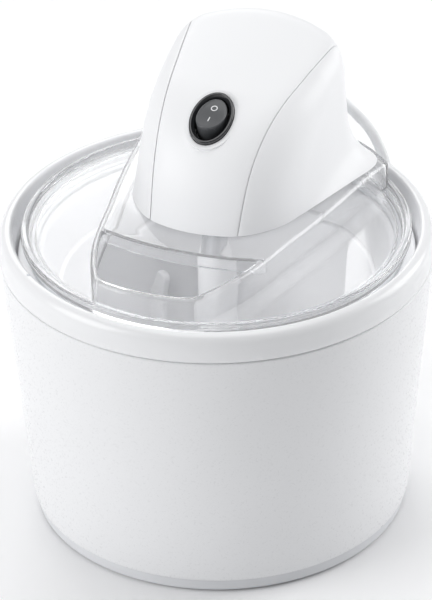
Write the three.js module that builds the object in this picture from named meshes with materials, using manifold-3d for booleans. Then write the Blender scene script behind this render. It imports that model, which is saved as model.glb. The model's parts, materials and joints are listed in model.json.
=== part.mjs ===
// Ice cream maker with a freezer bowl: a round tub, a lift-out double-walled bowl, a clear lid with a
// raised platform and filling chute, a paddle, and a motor unit that stands on the lid.
// Millimetres, +Z up, origin at the middle of the underside, front (chute and switch) towards -Y.

import * as THREE from 'three';
import { mergeVertices } from 'three/addons/utils/BufferGeometryUtils.js';
import Module from 'manifold-3d';

const wasm = await Module();
wasm.setup();

// ---------------------------------------------------------------- driving dimensions
const GAP = 0.3;            // between pieces that touch
const SLIP = 1.0;           // round pieces that lift out of each other
const RUN = 0.5;            // parts that turn in one another
const TALL = 400;           // longer than anything a cutting solid has to pass
const SEG = 32;             // facets of the large round pieces
const FINE = 16;            // facets of the small round pieces

const FOOT_H = 7.7;
const FOOT_PROUD = 1.0;     // rubber feet below the base cover
const SHOULDER_Z = 40;
const SEAM_R = 112.2;       // tub at the seam under the rim
const SHOULDER_IN = 9.7;    // narrowing from there to where the lower rounding ends
const BODY_IN = 12;         // narrowing from the seam to the lower edge
const FOOT_IN = 2;          // step in to the band at the very bottom
const SEAM_Z = 148;
const BODY_WALL = 2.6;
const RIM_H = 15;           // from the seam to the top of the rim
const RIM_WIDTH = 7.7;      // from the rim's outer face to the groove round the lid
const LEDGE_DROP = 19.9;    // bowl ledge below the rim's top
const LEDGE_W = 10.6;       // width of the bowl ledge
const LEDGE_T = 3.0;
const SLEEVE_WALL = 2.0;

const BOWL_WALL = 2.2;      // outer shell of the bowl
const BOWL_TAPER = 5;
const LINER_WALL = 1.5;
const BOWL_JACKET = 14.2;   // from the ledge's inner edge in to the liner's inside, at its top
const LINER_TAPER = 6;
const LINER_DEPTH = 99.5;   // from the liner's top down to its floor
const COLLAR_H = 20.2;      // white collar from the liner up to the bowl's top
const GEL_HEADROOM = 8;

const LID_GROOVE = 4.3;     // open groove between the lid and the rim
const LID_T = 2.5;
const LID_BEAD = 3.6;       // radial width of the lid's rolled edge
const LID_PROUD = 0.3;      // lid edge above the rim
const LID_RECESS = 2.5;     // lid's flat floor below its edge
const PLATFORM_H = 12.4;    // platform top above the lid's edge
const PLATFORM_WALL = 2.2;
const PLATFORM_IN = 2.3;    // lid's edge to the front and back ends of the platform
const CHUTE_LIP = 1.2;      // lip inside the wall round the chute mouth
const CHUTE_BACK_Y = -52.5;
const CHUTE_BOW = 22;       // depth of the arc behind the chute mouth
const CHUTE_BOW_HALF = 60;  // and half its width
const CURTAIN_H = 6;        // wall that hangs behind the chute mouth
const CURTAIN_T = 1.8;
const SPIGOT_R = 24;        // round register that centres the motor unit

const HOOD_NOSE = 34.8;     // from the axis to the front of the motor unit
const HOOD_LEAN = 0.31;     // how far the front leans back per unit of height
const HOOD_H = 71;          // motor unit, base to the highest point, roughly
const HOOD_SLOPE = 0.235;   // rise of the top towards the back
const HOOD_HALF = 43.6;     // half width at the axis
const HOOD_BACK_R = 83.5;   // back wall, centred on the tub's axis
const HOOD_FLARE = 11;      // how far the back wall flares at its base
const HOOD_WALL = 2.2;
const STRIP_HALF = 28.8;    // half width of the middle cover at the axis
const STRIP_SPREAD = 0.165; // widening of the middle cover per unit towards the back

const GEAR_M = 1.25;        // gear module
const OUT_TEETH = 32;
const SMALL_TEETH = 10;
const BIG_TEETH = 28;
const PINION_TEETH = 10;
const GEAR_W = 5.5;
const MOTOR_R = 20;
const MOTOR_H = 27;

const SWITCH_A = 11.2;      // bezel half width
const SWITCH_B = 15.3;      // bezel half length, up the slope
const SWITCH_OPEN = 0.8;    // opening as a share of the bezel's length
const SWITCH_T = 2.9;
const SWITCH_SEAT = 2.3;    // depth of the flat seat under the hood's surface
const SWITCH_Y = -3.5;      // centre of the switch on the middle cover
const ROCKER_TILT = 13;     // degrees either side of level
const ROCKER_SWEEP = 11.7;  // radius that the rocker's ends swing on
const ROCKER_PIVOT = 3.0;   // pivot below the hood's surface
const ROCKER_END = 1.7;     // clearance at the rocker's ends, taken up as it tilts

const CORD_R = 2.8;
const CORD_EXIT_Z = 190;
const COIL_X = -14;
const COIL_Y = 164;
const COIL_R = 32;          // middle of the coil's turns
const TIE_T = 0.8;

// ---------------------------------------------------------------- radii worked out from these
const BODY_R = SEAM_R - BODY_IN;
const SHOULDER_R = SEAM_R - SHOULDER_IN;
const FOOT_R = BODY_R - FOOT_IN;
const RIM_R = SEAM_R + GAP;
const RIM_IN = RIM_R - RIM_WIDTH;
const LEDGE_R = RIM_IN - LEDGE_W;
const LINER_R = LEDGE_R - BOWL_JACKET;
const LID_R = RIM_IN - LID_GROOVE;
const PLATFORM_R = LID_R - PLATFORM_IN;

// ---------------------------------------------------------------- heights worked out from these
const RIM_Z = SEAM_Z + RIM_H;
const LEDGE_Z = RIM_Z - LEDGE_DROP;
const BOWL_BOTTOM = FOOT_H + 6.8;
const BOWL_FLANGE_Z = LEDGE_Z + GAP;
const BOWL_TOP = BOWL_FLANGE_Z + 6.1;
const LINER_TOP = BOWL_TOP - COLLAR_H - GAP;
const LINER_FLOOR = LINER_TOP - LINER_DEPTH - LINER_WALL;
const SEAL_Z = BOWL_TOP + GAP;
const SEAL_H = 2.0;
const LID_Z = RIM_Z + LID_PROUD;
const LID_FLOOR = LID_Z - LID_RECESS;
const PLATFORM_Z = LID_Z + PLATFORM_H;
const HOOD_Z = PLATFORM_Z + GAP;
const PLATE_Z = HOOD_Z + GAP;
const PLATE_T = 3.0;
const CASE_Z = PLATE_Z + PLATE_T + GAP;
const CASE_WALL = 1.8;
const OUT_GEAR_Z = CASE_Z + CASE_WALL + 2.6;
const BIG_GEAR_Z = OUT_GEAR_Z + GEAR_W + 0.6;
const CASE_TOP = BIG_GEAR_Z + GEAR_W + 0.8;
const GEAR_COVER_T = 2.0;
const MOTOR_Z = CASE_TOP + GAP + GEAR_COVER_T + GAP;

// ---------------------------------------------------------------- mesh helpers
function clean(geometry) {
  const bare = geometry.index ? geometry.toNonIndexed() : geometry.clone();
  bare.deleteAttribute('normal');
  bare.deleteAttribute('uv');
  const merged = mergeVertices(bare, 1e-4);
  const position = merged.attributes.position.array;
  const kept = [];
  let volume = 0;
  const index = merged.index.array;
  const a = new THREE.Vector3();
  const b = new THREE.Vector3();
  const c = new THREE.Vector3();
  for (let i = 0; i < index.length; i += 3) {
    const [p, q, r] = [index[i], index[i + 1], index[i + 2]];
    if (p === q || q === r || r === p) continue;
    kept.push(p, q, r);
    a.fromArray(position, 3 * p);
    b.fromArray(position, 3 * q);
    c.fromArray(position, 3 * r);
    volume += a.dot(b.cross(c));
  }
  if (volume < 0) kept.reverse();
  return { position, index: kept };
}

function solid(geometry) {
  const { position, index } = clean(geometry);
  return new wasm.Manifold(new wasm.Mesh({
    numProp: 3,
    vertProperties: Float32Array.from(position),
    triVerts: Uint32Array.from(index),
  }));
}

function geometryOf(manifold) {
  const mesh = manifold.getMesh();
  const geometry = new THREE.BufferGeometry();
  geometry.setAttribute('position', new THREE.BufferAttribute(mesh.vertProperties, 3));
  geometry.setIndex(new THREE.BufferAttribute(mesh.triVerts, 1));
  return geometry;
}

// A body of revolution about Z from an outline of [radius, height] pairs.
function turned(outline, facets = SEG) {
  const closed = outline[0][0] > 0 || outline[outline.length - 1][0] > 0;
  const points = outline.map(([r, z]) => new THREE.Vector2(r, z));
  if (closed) points.push(points[0].clone());
  return solid(new THREE.LatheGeometry(points, facets).rotateX(Math.PI / 2));
}

function prism(outline, z0, z1) {
  const shape = new THREE.Shape(outline.map(([x, y]) => new THREE.Vector2(x, y)));
  const geometry = new THREE.ExtrudeGeometry(shape, { depth: z1 - z0, bevelEnabled: false });
  return solid(geometry.translate(0, 0, z0));
}

function ellipse(a, b, facets = FINE) {
  return Array.from({ length: facets }, (_, i) => {
    const t = (2 * Math.PI * i) / facets;
    return [a * Math.cos(t), b * Math.sin(t)];
  });
}

function post(r, z0, z1, x = 0, y = 0, facets = FINE) {
  return prism(ellipse(r, r, facets).map(([u, v]) => [u + x, v + y]), z0, z1);
}

function block(x0, x1, y0, y1, z0, z1) {
  return prism([[x0, y0], [x1, y0], [x1, y1], [x0, y1]], z0, z1);
}

function hexagon(acrossFlats) {
  return ellipse(acrossFlats / Math.sqrt(3), acrossFlats / Math.sqrt(3), 6);
}

// Moves a solid by a three.js matrix.
function moved(manifold, matrix) {
  return solid(geometryOf(manifold).applyMatrix4(matrix));
}

const group = new THREE.Group();

const FINISH = {
  white: [0xf1f2f4, 0.32, 0],
  base: [0xc9ccd1, 0.45, 0],
  rubber: [0x3a3c3f, 0.8, 0],
  steel: [0xb8bcc0, 0.3, 1],
  aluminium: [0xc3c7cd, 0.35, 1],
  gel: [0x9fc4df, 0.4, 0],
  clear: [0xe9eef2, 0.05, 0],
  seal: [0xe3e5e6, 0.6, 0],
  frost: [0xe6e9ec, 0.4, 0],
  nylon: [0xdcd9cf, 0.5, 0],
  black: [0x25282c, 0.45, 0],
  copper: [0xb06a3a, 0.4, 0.8],
  cord: [0xe8e9ea, 0.5, 0],
};

function add(name, manifold, finish) {
  const [color, roughness, metalness] = FINISH[finish];
  const material = new THREE.MeshStandardMaterial({ color, roughness, metalness });
  const mesh = new THREE.Mesh(geometryOf(manifold), material);
  mesh.name = name;
  group.add(mesh);
}

// ---------------------------------------------------------------- tub
const bodyRadius = (z) => SHOULDER_R + ((SEAM_R - SHOULDER_R) * (z - SHOULDER_Z)) / (SEAM_Z - SHOULDER_Z);

const FOOT_TOP = FOOT_H + GAP;
const HOUSING_TOP = SEAM_Z - GAP;
const FLANGE_T = 2.2;
const FLANGE_R = 62;
const screwSpots = [45, 135, 225, 315].map((deg) => THREE.MathUtils.degToRad(deg));
const BASE_SCREW_R = 70;
const SCREW_R = 1.6;
const SCREW_HEAD_R = 3.4;
const FOOT_PAD_R = 7;
const FOOT_PAD_H = 3.6;
const FOOT_PAD_SPOT_R = FOOT_R - 10.2;
const BASE_PLATE_T = 2.4;

function screwHoles(z0, z1, radius) {
  return screwSpots.map((a) => {
    const [x, y] = [BASE_SCREW_R * Math.cos(a), BASE_SCREW_R * Math.sin(a)];
    return post(radius, z0, z1, x, y, 8);
  });
}

const cut = (body, tools) => tools.reduce((left, tool) => left.subtract(tool), body);

const housingShell = turned([
  [FLANGE_R, FOOT_TOP], [BODY_R - 2, FOOT_TOP], [BODY_R - 0.4, FOOT_TOP + 0.6], [BODY_R, FOOT_TOP + 2],
  [BODY_R + 0.9, FOOT_TOP + 12], [SHOULDER_R, SHOULDER_Z], [bodyRadius(HOUSING_TOP), HOUSING_TOP],
  [bodyRadius(HOUSING_TOP) - BODY_WALL, HOUSING_TOP], [SHOULDER_R - BODY_WALL, SHOULDER_Z],
  [BODY_R - BODY_WALL, FOOT_TOP + 6], [BODY_R - BODY_WALL - 0.4, FOOT_TOP + FLANGE_T],
  [FLANGE_R, FOOT_TOP + FLANGE_T],
]);
add('outer_housing', cut(housingShell, screwHoles(0, SHOULDER_Z, SCREW_R + GAP)), 'white');

const TONGUE_R = bodyRadius(SEAM_Z - 12) - BODY_WALL - GAP;
add('rim_ring', turned([
  [SEAM_R, SEAM_Z + GAP], [RIM_R, SEAM_Z + 4], [RIM_R - 0.3, RIM_Z - 6.5], [RIM_R - 1.2, RIM_Z - 3],
  [RIM_R - 2.9, RIM_Z - 0.8], [RIM_R - 5.2, RIM_Z], [RIM_IN + 0.7, RIM_Z - 0.3], [RIM_IN, RIM_Z - 1.6],
  [RIM_IN - 1.2, LEDGE_Z], [LEDGE_R, LEDGE_Z], [LEDGE_R, LEDGE_Z - LEDGE_T],
  [TONGUE_R - 2.2, LEDGE_Z - LEDGE_T],
  [TONGUE_R - 2.2, SEAM_Z - 12], [TONGUE_R, SEAM_Z - 12], [TONGUE_R, SEAM_Z + GAP],
]), 'white');

const SLEEVE_FLOOR = FOOT_TOP + FLANGE_T + GAP;
const SLEEVE_R = LEDGE_R + 2.4;
add('inner_sleeve', turned([
  [0, SLEEVE_FLOOR], [SLEEVE_R - 3, SLEEVE_FLOOR], [SLEEVE_R, SLEEVE_FLOOR + 4],
  [SLEEVE_R, LEDGE_Z - LEDGE_T - GAP], [SLEEVE_R - SLEEVE_WALL, LEDGE_Z - LEDGE_T - GAP],
  [SLEEVE_R - SLEEVE_WALL, SLEEVE_FLOOR + 5], [SLEEVE_R - 4.5, SLEEVE_FLOOR + SLEEVE_WALL],
  [0, SLEEVE_FLOOR + SLEEVE_WALL],
]), 'base');

const padSpots = screwSpots.map((a) => [FOOT_PAD_SPOT_R * Math.cos(a), FOOT_PAD_SPOT_R * Math.sin(a)]);
const baseRing = turned([
  [0, FOOT_H - BASE_PLATE_T], [FOOT_R - 19, FOOT_H - BASE_PLATE_T], [FOOT_R - 18, FOOT_PROUD],
  [FOOT_R - 1.2, FOOT_PROUD], [FOOT_R, FOOT_PROUD + 1.4], [FOOT_R, FOOT_H], [0, FOOT_H],
]);
const padPockets = padSpots.map(([x, y]) => post(FOOT_PAD_R + GAP, 0, FOOT_PAD_H + GAP, x, y));
const headSeat = FOOT_H - BASE_PLATE_T;
const headPockets = screwHoles(0, headSeat, SCREW_HEAD_R + GAP);
const screwPassages = screwHoles(0, SHOULDER_Z, SCREW_R + GAP);
add('base_cover', cut(baseRing, [...padPockets, ...screwPassages, ...headPockets]), 'base');

padSpots.forEach(([x, y], i) => {
  add(`foot_pad_${i + 1}`, post(FOOT_PAD_R, 0, FOOT_PAD_H, x, y), 'rubber');
});

screwSpots.forEach((a, i) => {
  const [x, y] = [BASE_SCREW_R * Math.cos(a), BASE_SCREW_R * Math.sin(a)];
  const head = post(SCREW_HEAD_R, headSeat - GAP - 2, headSeat - GAP, x, y, 8);
  const shank = post(SCREW_R, headSeat - GAP - 1, FOOT_TOP + FLANGE_T - GAP, x, y, 8);
  add(`base_screw_${i + 1}`, head.add(shank), 'steel');
});

// ---------------------------------------------------------------- freezer bowl
const SHELL_TOP = BOWL_FLANGE_Z - 5.2;
const COLLAR_NECK_R = LEDGE_R - SLIP;
const SHELL_R = COLLAR_NECK_R - 2.2;
const shellRadius = (z) => SHELL_R - (BOWL_TAPER * (SHELL_TOP - z)) / (SHELL_TOP - BOWL_BOTTOM);
const linerRadius = (z) => LINER_R - (LINER_TAPER * (LINER_TOP - z)) / LINER_DEPTH;
const BOTTOM_ROUND = 8;
const PLUG_R = 4.7;
const CONE_R = 8;
const CONE_H = 12;

add('bowl_outer_shell', turned([
  [PLUG_R + GAP, BOWL_BOTTOM], [shellRadius(BOWL_BOTTOM) - 3.5, BOWL_BOTTOM],
  [shellRadius(BOWL_BOTTOM) - 0.6, BOWL_BOTTOM + 3.5], [shellRadius(BOWL_BOTTOM + 8), BOWL_BOTTOM + 8],
  [SHELL_R, SHELL_TOP], [SHELL_R - BOWL_WALL, SHELL_TOP],
  [shellRadius(BOWL_BOTTOM + 8) - BOWL_WALL, BOWL_BOTTOM + 8],
  [shellRadius(BOWL_BOTTOM) - BOWL_WALL - 3, BOWL_BOTTOM + BOWL_WALL],
  [PLUG_R + GAP, BOWL_BOTTOM + BOWL_WALL],
]), 'white');

const LINER_LIP = LINER_R + 4.5;
const floorIn = LINER_FLOOR + LINER_WALL;
add('bowl_liner', turned([
  [0, LINER_FLOOR], [linerRadius(floorIn) - BOTTOM_ROUND, LINER_FLOOR],
  [linerRadius(floorIn) - 1.2, LINER_FLOOR + 3.2],
  [linerRadius(floorIn + BOTTOM_ROUND) + LINER_WALL, LINER_FLOOR + BOTTOM_ROUND],
  [LINER_R + LINER_WALL, LINER_TOP - LINER_WALL], [LINER_LIP, LINER_TOP - LINER_WALL],
  [LINER_LIP, LINER_TOP],
  [LINER_R, LINER_TOP], [linerRadius(floorIn + BOTTOM_ROUND), floorIn + BOTTOM_ROUND],
  [linerRadius(floorIn) - 2.2, floorIn + 2.6], [linerRadius(floorIn) - BOTTOM_ROUND - 1, floorIn],
  [CONE_R, floorIn], [CONE_R - 3, floorIn + CONE_H], [0, floorIn + CONE_H],
]), 'aluminium');

const gelTop = LINER_TOP - GEL_HEADROOM;
const gelFloor = BOWL_BOTTOM + BOWL_WALL + GAP;
const gelOut = (z) => shellRadius(z) - BOWL_WALL - GAP;
const gelIn = (z) => linerRadius(z) + LINER_WALL + GAP;
add('coolant_gel', turned([
  [0, gelFloor], [gelOut(gelFloor) - 4, gelFloor], [gelOut(gelFloor + 8), gelFloor + 8],
  [gelOut(gelTop), gelTop],
  [gelIn(gelTop), gelTop], [gelIn(LINER_FLOOR + BOTTOM_ROUND) + 0.5, LINER_FLOOR + BOTTOM_ROUND],
  [linerRadius(floorIn) - 0.4, LINER_FLOOR + 2.2],
  [linerRadius(floorIn) - BOTTOM_ROUND, LINER_FLOOR - GAP - 0.6],
  [0, LINER_FLOOR - GAP - 0.6],
]), 'gel');

add('fill_plug', turned([
  [0, BOWL_BOTTOM - 1.3], [PLUG_R + 3, BOWL_BOTTOM - 1.3], [PLUG_R + 3, BOWL_BOTTOM - GAP],
  [PLUG_R, BOWL_BOTTOM - GAP], [PLUG_R, BOWL_BOTTOM + BOWL_WALL - GAP], [0, BOWL_BOTTOM + BOWL_WALL - GAP],
], FINE), 'seal');

const COLLAR_IN = LINER_R + 2.3;
const COLLAR_WALL = 2.5;
const FLANGE_OUT = RIM_IN - 1.2 - SLIP - 0.2;
const collarFoot = LINER_TOP + GAP;
const collarKnee = collarFoot + 4;
const collarBrow = BOWL_TOP - 5;
const collarUnder = SHELL_TOP + GAP;
const collarInner = (z) => COLLAR_IN + 1.2 + (4 * (z - collarKnee)) / (collarBrow - collarKnee);
add('bowl_collar', turned([
  [COLLAR_IN, collarFoot], [collarInner(collarKnee), collarKnee], [collarInner(collarBrow), collarBrow],
  [COLLAR_IN + 8.2, BOWL_TOP], [FLANGE_OUT - 0.8, BOWL_TOP], [FLANGE_OUT, BOWL_TOP - 1],
  [FLANGE_OUT, BOWL_FLANGE_Z], [COLLAR_NECK_R, BOWL_FLANGE_Z], [COLLAR_NECK_R, collarUnder],
  [collarInner(collarUnder) + COLLAR_WALL, collarUnder], [collarInner(collarKnee) + COLLAR_WALL, collarKnee],
  [LINER_LIP + GAP, collarFoot],
]), 'white');

// ---------------------------------------------------------------- lid
// Half of the platform's outline from its back to its front, and its mirror image.
function platformOutline(inset) {
  const side = [[67.5, 66], [63.5, 45], [60, 22], [56, 0], [51.5, -20], [46.5, -45], [41.8, -63], [35, -80]];
  const endR = PLATFORM_R - inset;
  const arc = (from, to, steps) => Array.from({ length: steps + 1 }, (_, i) => {
    const a = from + ((to - from) * i) / steps;
    return [endR * Math.sin(a), -endR * Math.cos(a)];
  });
  const right = side.map(([x, y]) => [x - inset, y]).filter(([x, y]) => Math.hypot(x, y) < endR - 2);
  const backHalf = Math.atan2(right[0][0], right[0][1]);
  const frontHalf = Math.asin((28 - inset) / endR);
  const back = arc(Math.PI - backHalf, Math.PI + backHalf, 10);
  const front = arc(-frontHalf, frontHalf, 8);
  const left = right.map(([x, y]) => [-x, y]);
  return [...back, ...left, ...front, ...right.reverse()];
}

const SKIRT_R = LID_R - 5.1;
const SKIRT_T = 2.2;
const SKIRT_Z = SEAL_Z + SEAL_H + GAP;
const lidPlate = turned([
  [0, LID_FLOOR - LID_T], [SKIRT_R - SKIRT_T, LID_FLOOR - LID_T], [SKIRT_R - SKIRT_T, SKIRT_Z],
  [SKIRT_R, SKIRT_Z],
  [SKIRT_R, LID_FLOOR - LID_T], [LID_R - 0.8, LID_FLOOR - LID_T], [LID_R, LID_FLOOR - LID_T + 0.8],
  [LID_R, LID_Z - 1.2], [LID_R - 1.2, LID_Z], [LID_R - LID_BEAD + 0.8, LID_Z],
  [LID_R - LID_BEAD, LID_Z - 0.8],
  [LID_R - LID_BEAD, LID_FLOOR], [0, LID_FLOOR],
]);
const innerTop = PLATFORM_Z - PLATFORM_WALL;
const wellR = SKIRT_R - SKIRT_T - 0.2;
const inside = platformOutline(PLATFORM_WALL);
const well = prism(inside, LID_FLOOR - LID_T - 2, LID_FLOOR + 1)
  .intersect(post(wellR, 0, TALL, 0, 0, SEG));
const hollow = prism(inside, LID_FLOOR, innerTop).add(well);
const bow = (behind) => ellipse(CHUTE_BOW_HALF - behind, CHUTE_BOW - behind, 24)
  .map(([x, y]) => [x, y + CHUTE_BACK_Y + CHUTE_BOW]);
const front = block(-CHUTE_BOW_HALF, CHUTE_BOW_HALF, -TALL, CHUTE_BACK_Y + CHUTE_BOW / 2, 0, TALL);
const mouth = prism(platformOutline(PLATFORM_WALL + CHUTE_LIP), innerTop - 1, PLATFORM_Z + 1)
  .intersect(front).subtract(prism(bow(0), 0, TALL));
const curtain = prism(bow(0), innerTop - CURTAIN_H, innerTop + 0.5)
  .subtract(prism(bow(CURTAIN_T), 0, TALL))
  .intersect(front)
  .intersect(prism(platformOutline(PLATFORM_WALL - 0.5), 0, TALL));
const register = post(SPIGOT_R + GAP + 0.2, LID_FLOOR, PLATFORM_Z + 1, 0, 0, 24);
const raised = prism(platformOutline(0), LID_FLOOR - LID_T, PLATFORM_Z);
const lid = lidPlate.add(raised).subtract(hollow).add(curtain).subtract(mouth).subtract(register);
add('lid', lid, 'clear');

add('lid_seal', turned([
  [SKIRT_R - SKIRT_T - 1.6, SEAL_Z], [SKIRT_R + 1.6, SEAL_Z], [SKIRT_R + 1.6, SEAL_Z + SEAL_H],
  [SKIRT_R - SKIRT_T - 1.6, SEAL_Z + SEAL_H],
]), 'seal');

// ---------------------------------------------------------------- paddle
const SOCKET_Z = SKIRT_Z - 1;
const COLUMN_R = 10;
const STUB_AF = 8.4;
const paddleFoot = floorIn + 3;
const BLADE_T = 4;
const BLADE_R = linerRadius(paddleFoot + 6) - 3.2;
const columnFoot = floorIn + 1;
const coneSeat = floorIn + CONE_H + 1;
const column = turned([
  [COLUMN_R, columnFoot], [COLUMN_R, SOCKET_Z - 4], [COLUMN_R - 3, SOCKET_Z - GAP], [0, SOCKET_Z - GAP],
  [0, coneSeat], [CONE_R - 2.2, coneSeat], [CONE_R + 0.9, columnFoot],
], 24);
const BLADE_TOP = 70;       // heights above the paddle's foot
const BLADE_NECK = 50;
const BLADE_WEB = 15;
const HUB_H = 34;
const blade = (side) => {
  const outline = [
    [2, paddleFoot], [BLADE_R - 12, paddleFoot], [BLADE_R - 3, paddleFoot + 4], [BLADE_R, paddleFoot + 12],
    [BLADE_R, paddleFoot + BLADE_NECK + 2], [BLADE_R - 9, paddleFoot + BLADE_TOP],
    [BLADE_R - 18, paddleFoot + BLADE_TOP], [BLADE_R - 12, paddleFoot + BLADE_NECK],
    [BLADE_R - 14, paddleFoot + BLADE_WEB + 7], [BLADE_R - 22, paddleFoot + BLADE_WEB],
    [COLUMN_R + 14, paddleFoot + BLADE_WEB], [COLUMN_R, paddleFoot + HUB_H], [2, paddleFoot + HUB_H],
  ].map(([x, z]) => [side * x, z]);
  const upright = new THREE.Matrix4().makeRotationX(Math.PI / 2);
  return moved(prism(outline, -BLADE_T / 2, BLADE_T / 2), upright);
};
const cone = turned([
  [0, floorIn - 1], [CONE_R + 0.9, floorIn - 1], [CONE_R - 2.2, coneSeat], [0, coneSeat],
], 24);
const STUB_H = 20;
const stub = prism(hexagon(STUB_AF), SOCKET_Z - 1, SOCKET_Z + STUB_H);
const PADDLE_TURN = new THREE.Matrix4().makeRotationZ(THREE.MathUtils.degToRad(-38));
add('paddle', moved(column.add(blade(1)).add(blade(-1)).subtract(cone).add(stub), PADDLE_TURN), 'frost');

// ---------------------------------------------------------------- motor unit: hood surface
// The hood is a blend of a leaning front, a rising top, two flanks and a round back wall. The field is
// about the depth below the surface; the blend radii round the edges between the faces.
function blendMin(a, b, k) {
  const h = Math.max(k - Math.abs(a - b), 0) / k;
  return Math.min(a, b) - (h * h * k) / 4;
}

const TOP_ROUND = 31;
const BACK_ROUND = 10;
const FLARE_FALL = 9;       // height over which the flare dies away
const NOSE_BOW = 124;       // bow of the front across its width, as a divisor of x squared
const TOP_BOW = 520;
const TOP_LOW = 17.5;       // top over the axis, below the highest point
const LEAN_FROM = 29;       // height at which the flanks begin to lean in
const LEAN_RATE = 0.0019;
const FLANK_SPREAD = 0.07;
const FLANK_FLARE = 0.2;    // flank's share of the flare at the axis
const FLANK_FLARE_RISE = 0.0205;
const SIDE_ROUND = [13, 26];
const SIDE_ROUND_FALL = 0.2;
const SIDE_ROUND_Y = -20;

function hoodField(x, y, z) {
  const ax = Math.abs(x);
  const h = z - HOOD_Z;
  const flare = HOOD_FLARE * Math.exp(-Math.max(h, 0) / FLARE_FALL);
  const front = (y + HOOD_NOSE - (ax * ax) / NOSE_BOW - HOOD_LEAN * h) / Math.hypot(1, HOOD_LEAN);
  const topRise = HOOD_H - TOP_LOW + HOOD_SLOPE * y - (ax * ax) / TOP_BOW;
  const top = (topRise - h) / Math.hypot(1, HOOD_SLOPE);
  const lean = LEAN_RATE * Math.max(h - LEAN_FROM, 0) ** 2;
  const flankFlare = (FLANK_FLARE + FLANK_FLARE_RISE * Math.max(y, 0)) * flare;
  const flank = HOOD_HALF + FLANK_SPREAD * y - lean + flankFlare - ax;
  const back = HOOD_BACK_R + flare - Math.hypot(x, y);
  const roundHere = SIDE_ROUND[1] - (y - SIDE_ROUND_Y) * SIDE_ROUND_FALL;
  const sideRound = THREE.MathUtils.clamp(roundHere, ...SIDE_ROUND);
  return blendMin(blendMin(blendMin(front, top, TOP_ROUND), flank, sideRound), back, BACK_ROUND);
}

const CORE_Y = 30;
const HOOD_CORE = new THREE.Vector3(0, CORE_Y, HOOD_Z);

// Distance from the core, along a direction, to where the field falls to a given depth.
function reach(core, direction, depth) {
  let [near, far] = [0, 160];
  for (let i = 0; i < 40; i += 1) {
    const mid = (near + far) / 2;
    const p = core.clone().addScaledVector(direction, mid);
    if (hoodField(p.x, p.y, p.z) > depth) near = mid;
    else far = mid;
  }
  return core.clone().addScaledVector(direction, near);
}

function hoodBody(depth, skirt, around = 36, up = 9) {
  const rows = [];
  for (let j = 0; j < up; j += 1) {
    const psi = (Math.PI / 2) * (j / up);
    rows.push(Array.from({ length: around }, (_, i) => {
      const phi = (2 * Math.PI * i) / around;
      const level = Math.cos(psi);
      const d = new THREE.Vector3(level * Math.sin(phi), -level * Math.cos(phi), Math.sin(psi));
      return reach(HOOD_CORE, d, depth);
    }));
  }
  if (skirt > 0) rows.unshift(rows[0].map((p) => new THREE.Vector3(p.x, p.y, p.z - skirt)));
  const apex = reach(HOOD_CORE, new THREE.Vector3(0, 0, 1), depth);
  const foot = new THREE.Vector3(HOOD_CORE.x, HOOD_CORE.y, rows[0][0].z);
  const triangles = [];
  const last = rows[rows.length - 1];
  for (let i = 0; i < around; i += 1) {
    const n = (i + 1) % around;
    triangles.push(foot, rows[0][n], rows[0][i], apex, last[i], last[n]);
    for (let j = 0; j + 1 < rows.length; j += 1) {
      const [a, b, c, d] = [rows[j][i], rows[j][n], rows[j + 1][n], rows[j + 1][i]];
      triangles.push(a, b, c, a, c, d);
    }
  }
  return solid(new THREE.BufferGeometry().setFromPoints(triangles));
}

function hoodSection(z, depth, facets = 28) {
  const core = new THREE.Vector3(0, CORE_Y, z);
  return Array.from({ length: facets }, (_, i) => {
    const phi = (2 * Math.PI * i) / facets;
    const p = reach(core, new THREE.Vector3(Math.sin(phi), -Math.cos(phi), 0), depth);
    return [p.x, p.y];
  });
}

// ---------------------------------------------------------------- motor unit: switch frame
// Local frame of the switch: x across, y up the slope, z out of the hood.
function surfaceHeight(y) {
  return reach(new THREE.Vector3(0, y, HOOD_Z), new THREE.Vector3(0, 0, 1), 0).z;
}
const slopeStep = 4;
const slopeRise = surfaceHeight(SWITCH_Y + slopeStep) - surfaceHeight(SWITCH_Y - slopeStep);
const switchSlope = Math.atan2(slopeRise, 2 * slopeStep);
const switchFrame = new THREE.Matrix4().makeTranslation(0, SWITCH_Y, surfaceHeight(SWITCH_Y))
  .multiply(new THREE.Matrix4().makeRotationX(switchSlope));

// ---------------------------------------------------------------- motor unit: covers
const outer = hoodBody(0, 0);
const shell = outer.subtract(hoodBody(HOOD_WALL, 3));

const STRIP_REACH = 130;
const stripHalf = (y) => STRIP_HALF + STRIP_SPREAD * y;
function stripWedge(extra) {
  const [f, b] = [stripHalf(-STRIP_REACH) + extra, stripHalf(STRIP_REACH) + extra];
  return prism([[-f, -STRIP_REACH], [f, -STRIP_REACH], [b, STRIP_REACH], [-b, STRIP_REACH]], 0, TALL);
}

const BOSS_R = 3.6;
const BOSS_H = 12;
const bossZ = PLATE_Z + PLATE_T + GAP;
const bossHalf = [[HOOD_HALF - 3.6, 12], [HOOD_HALF + 5.4, 55]];
const bossSpots = [...bossHalf, ...bossHalf.map(([x, y]) => [-x, y])];
const bosses = bossSpots.map(([x, y]) => post(BOSS_R, bossZ, bossZ + BOSS_H, x, y, 8));
const bossHoles = bossSpots.map(([x, y]) => post(SCREW_R + GAP, 0, bossZ + BOSS_H - 1.5, x, y, 8));

const seatPocket = moved(prism(ellipse(SWITCH_A + GAP, SWITCH_B + GAP, 24), -SWITCH_SEAT, 30), switchFrame);
const openA = SWITCH_A * SWITCH_OPEN * 0.9;
const openB = SWITCH_B * SWITCH_OPEN;
const barrelA = openA + 1.3;
const barrelB = openB + 1.3;
const barrelHole = moved(prism(ellipse(barrelA + GAP, barrelB + GAP, 24), -30, 5), switchFrame);

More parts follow.
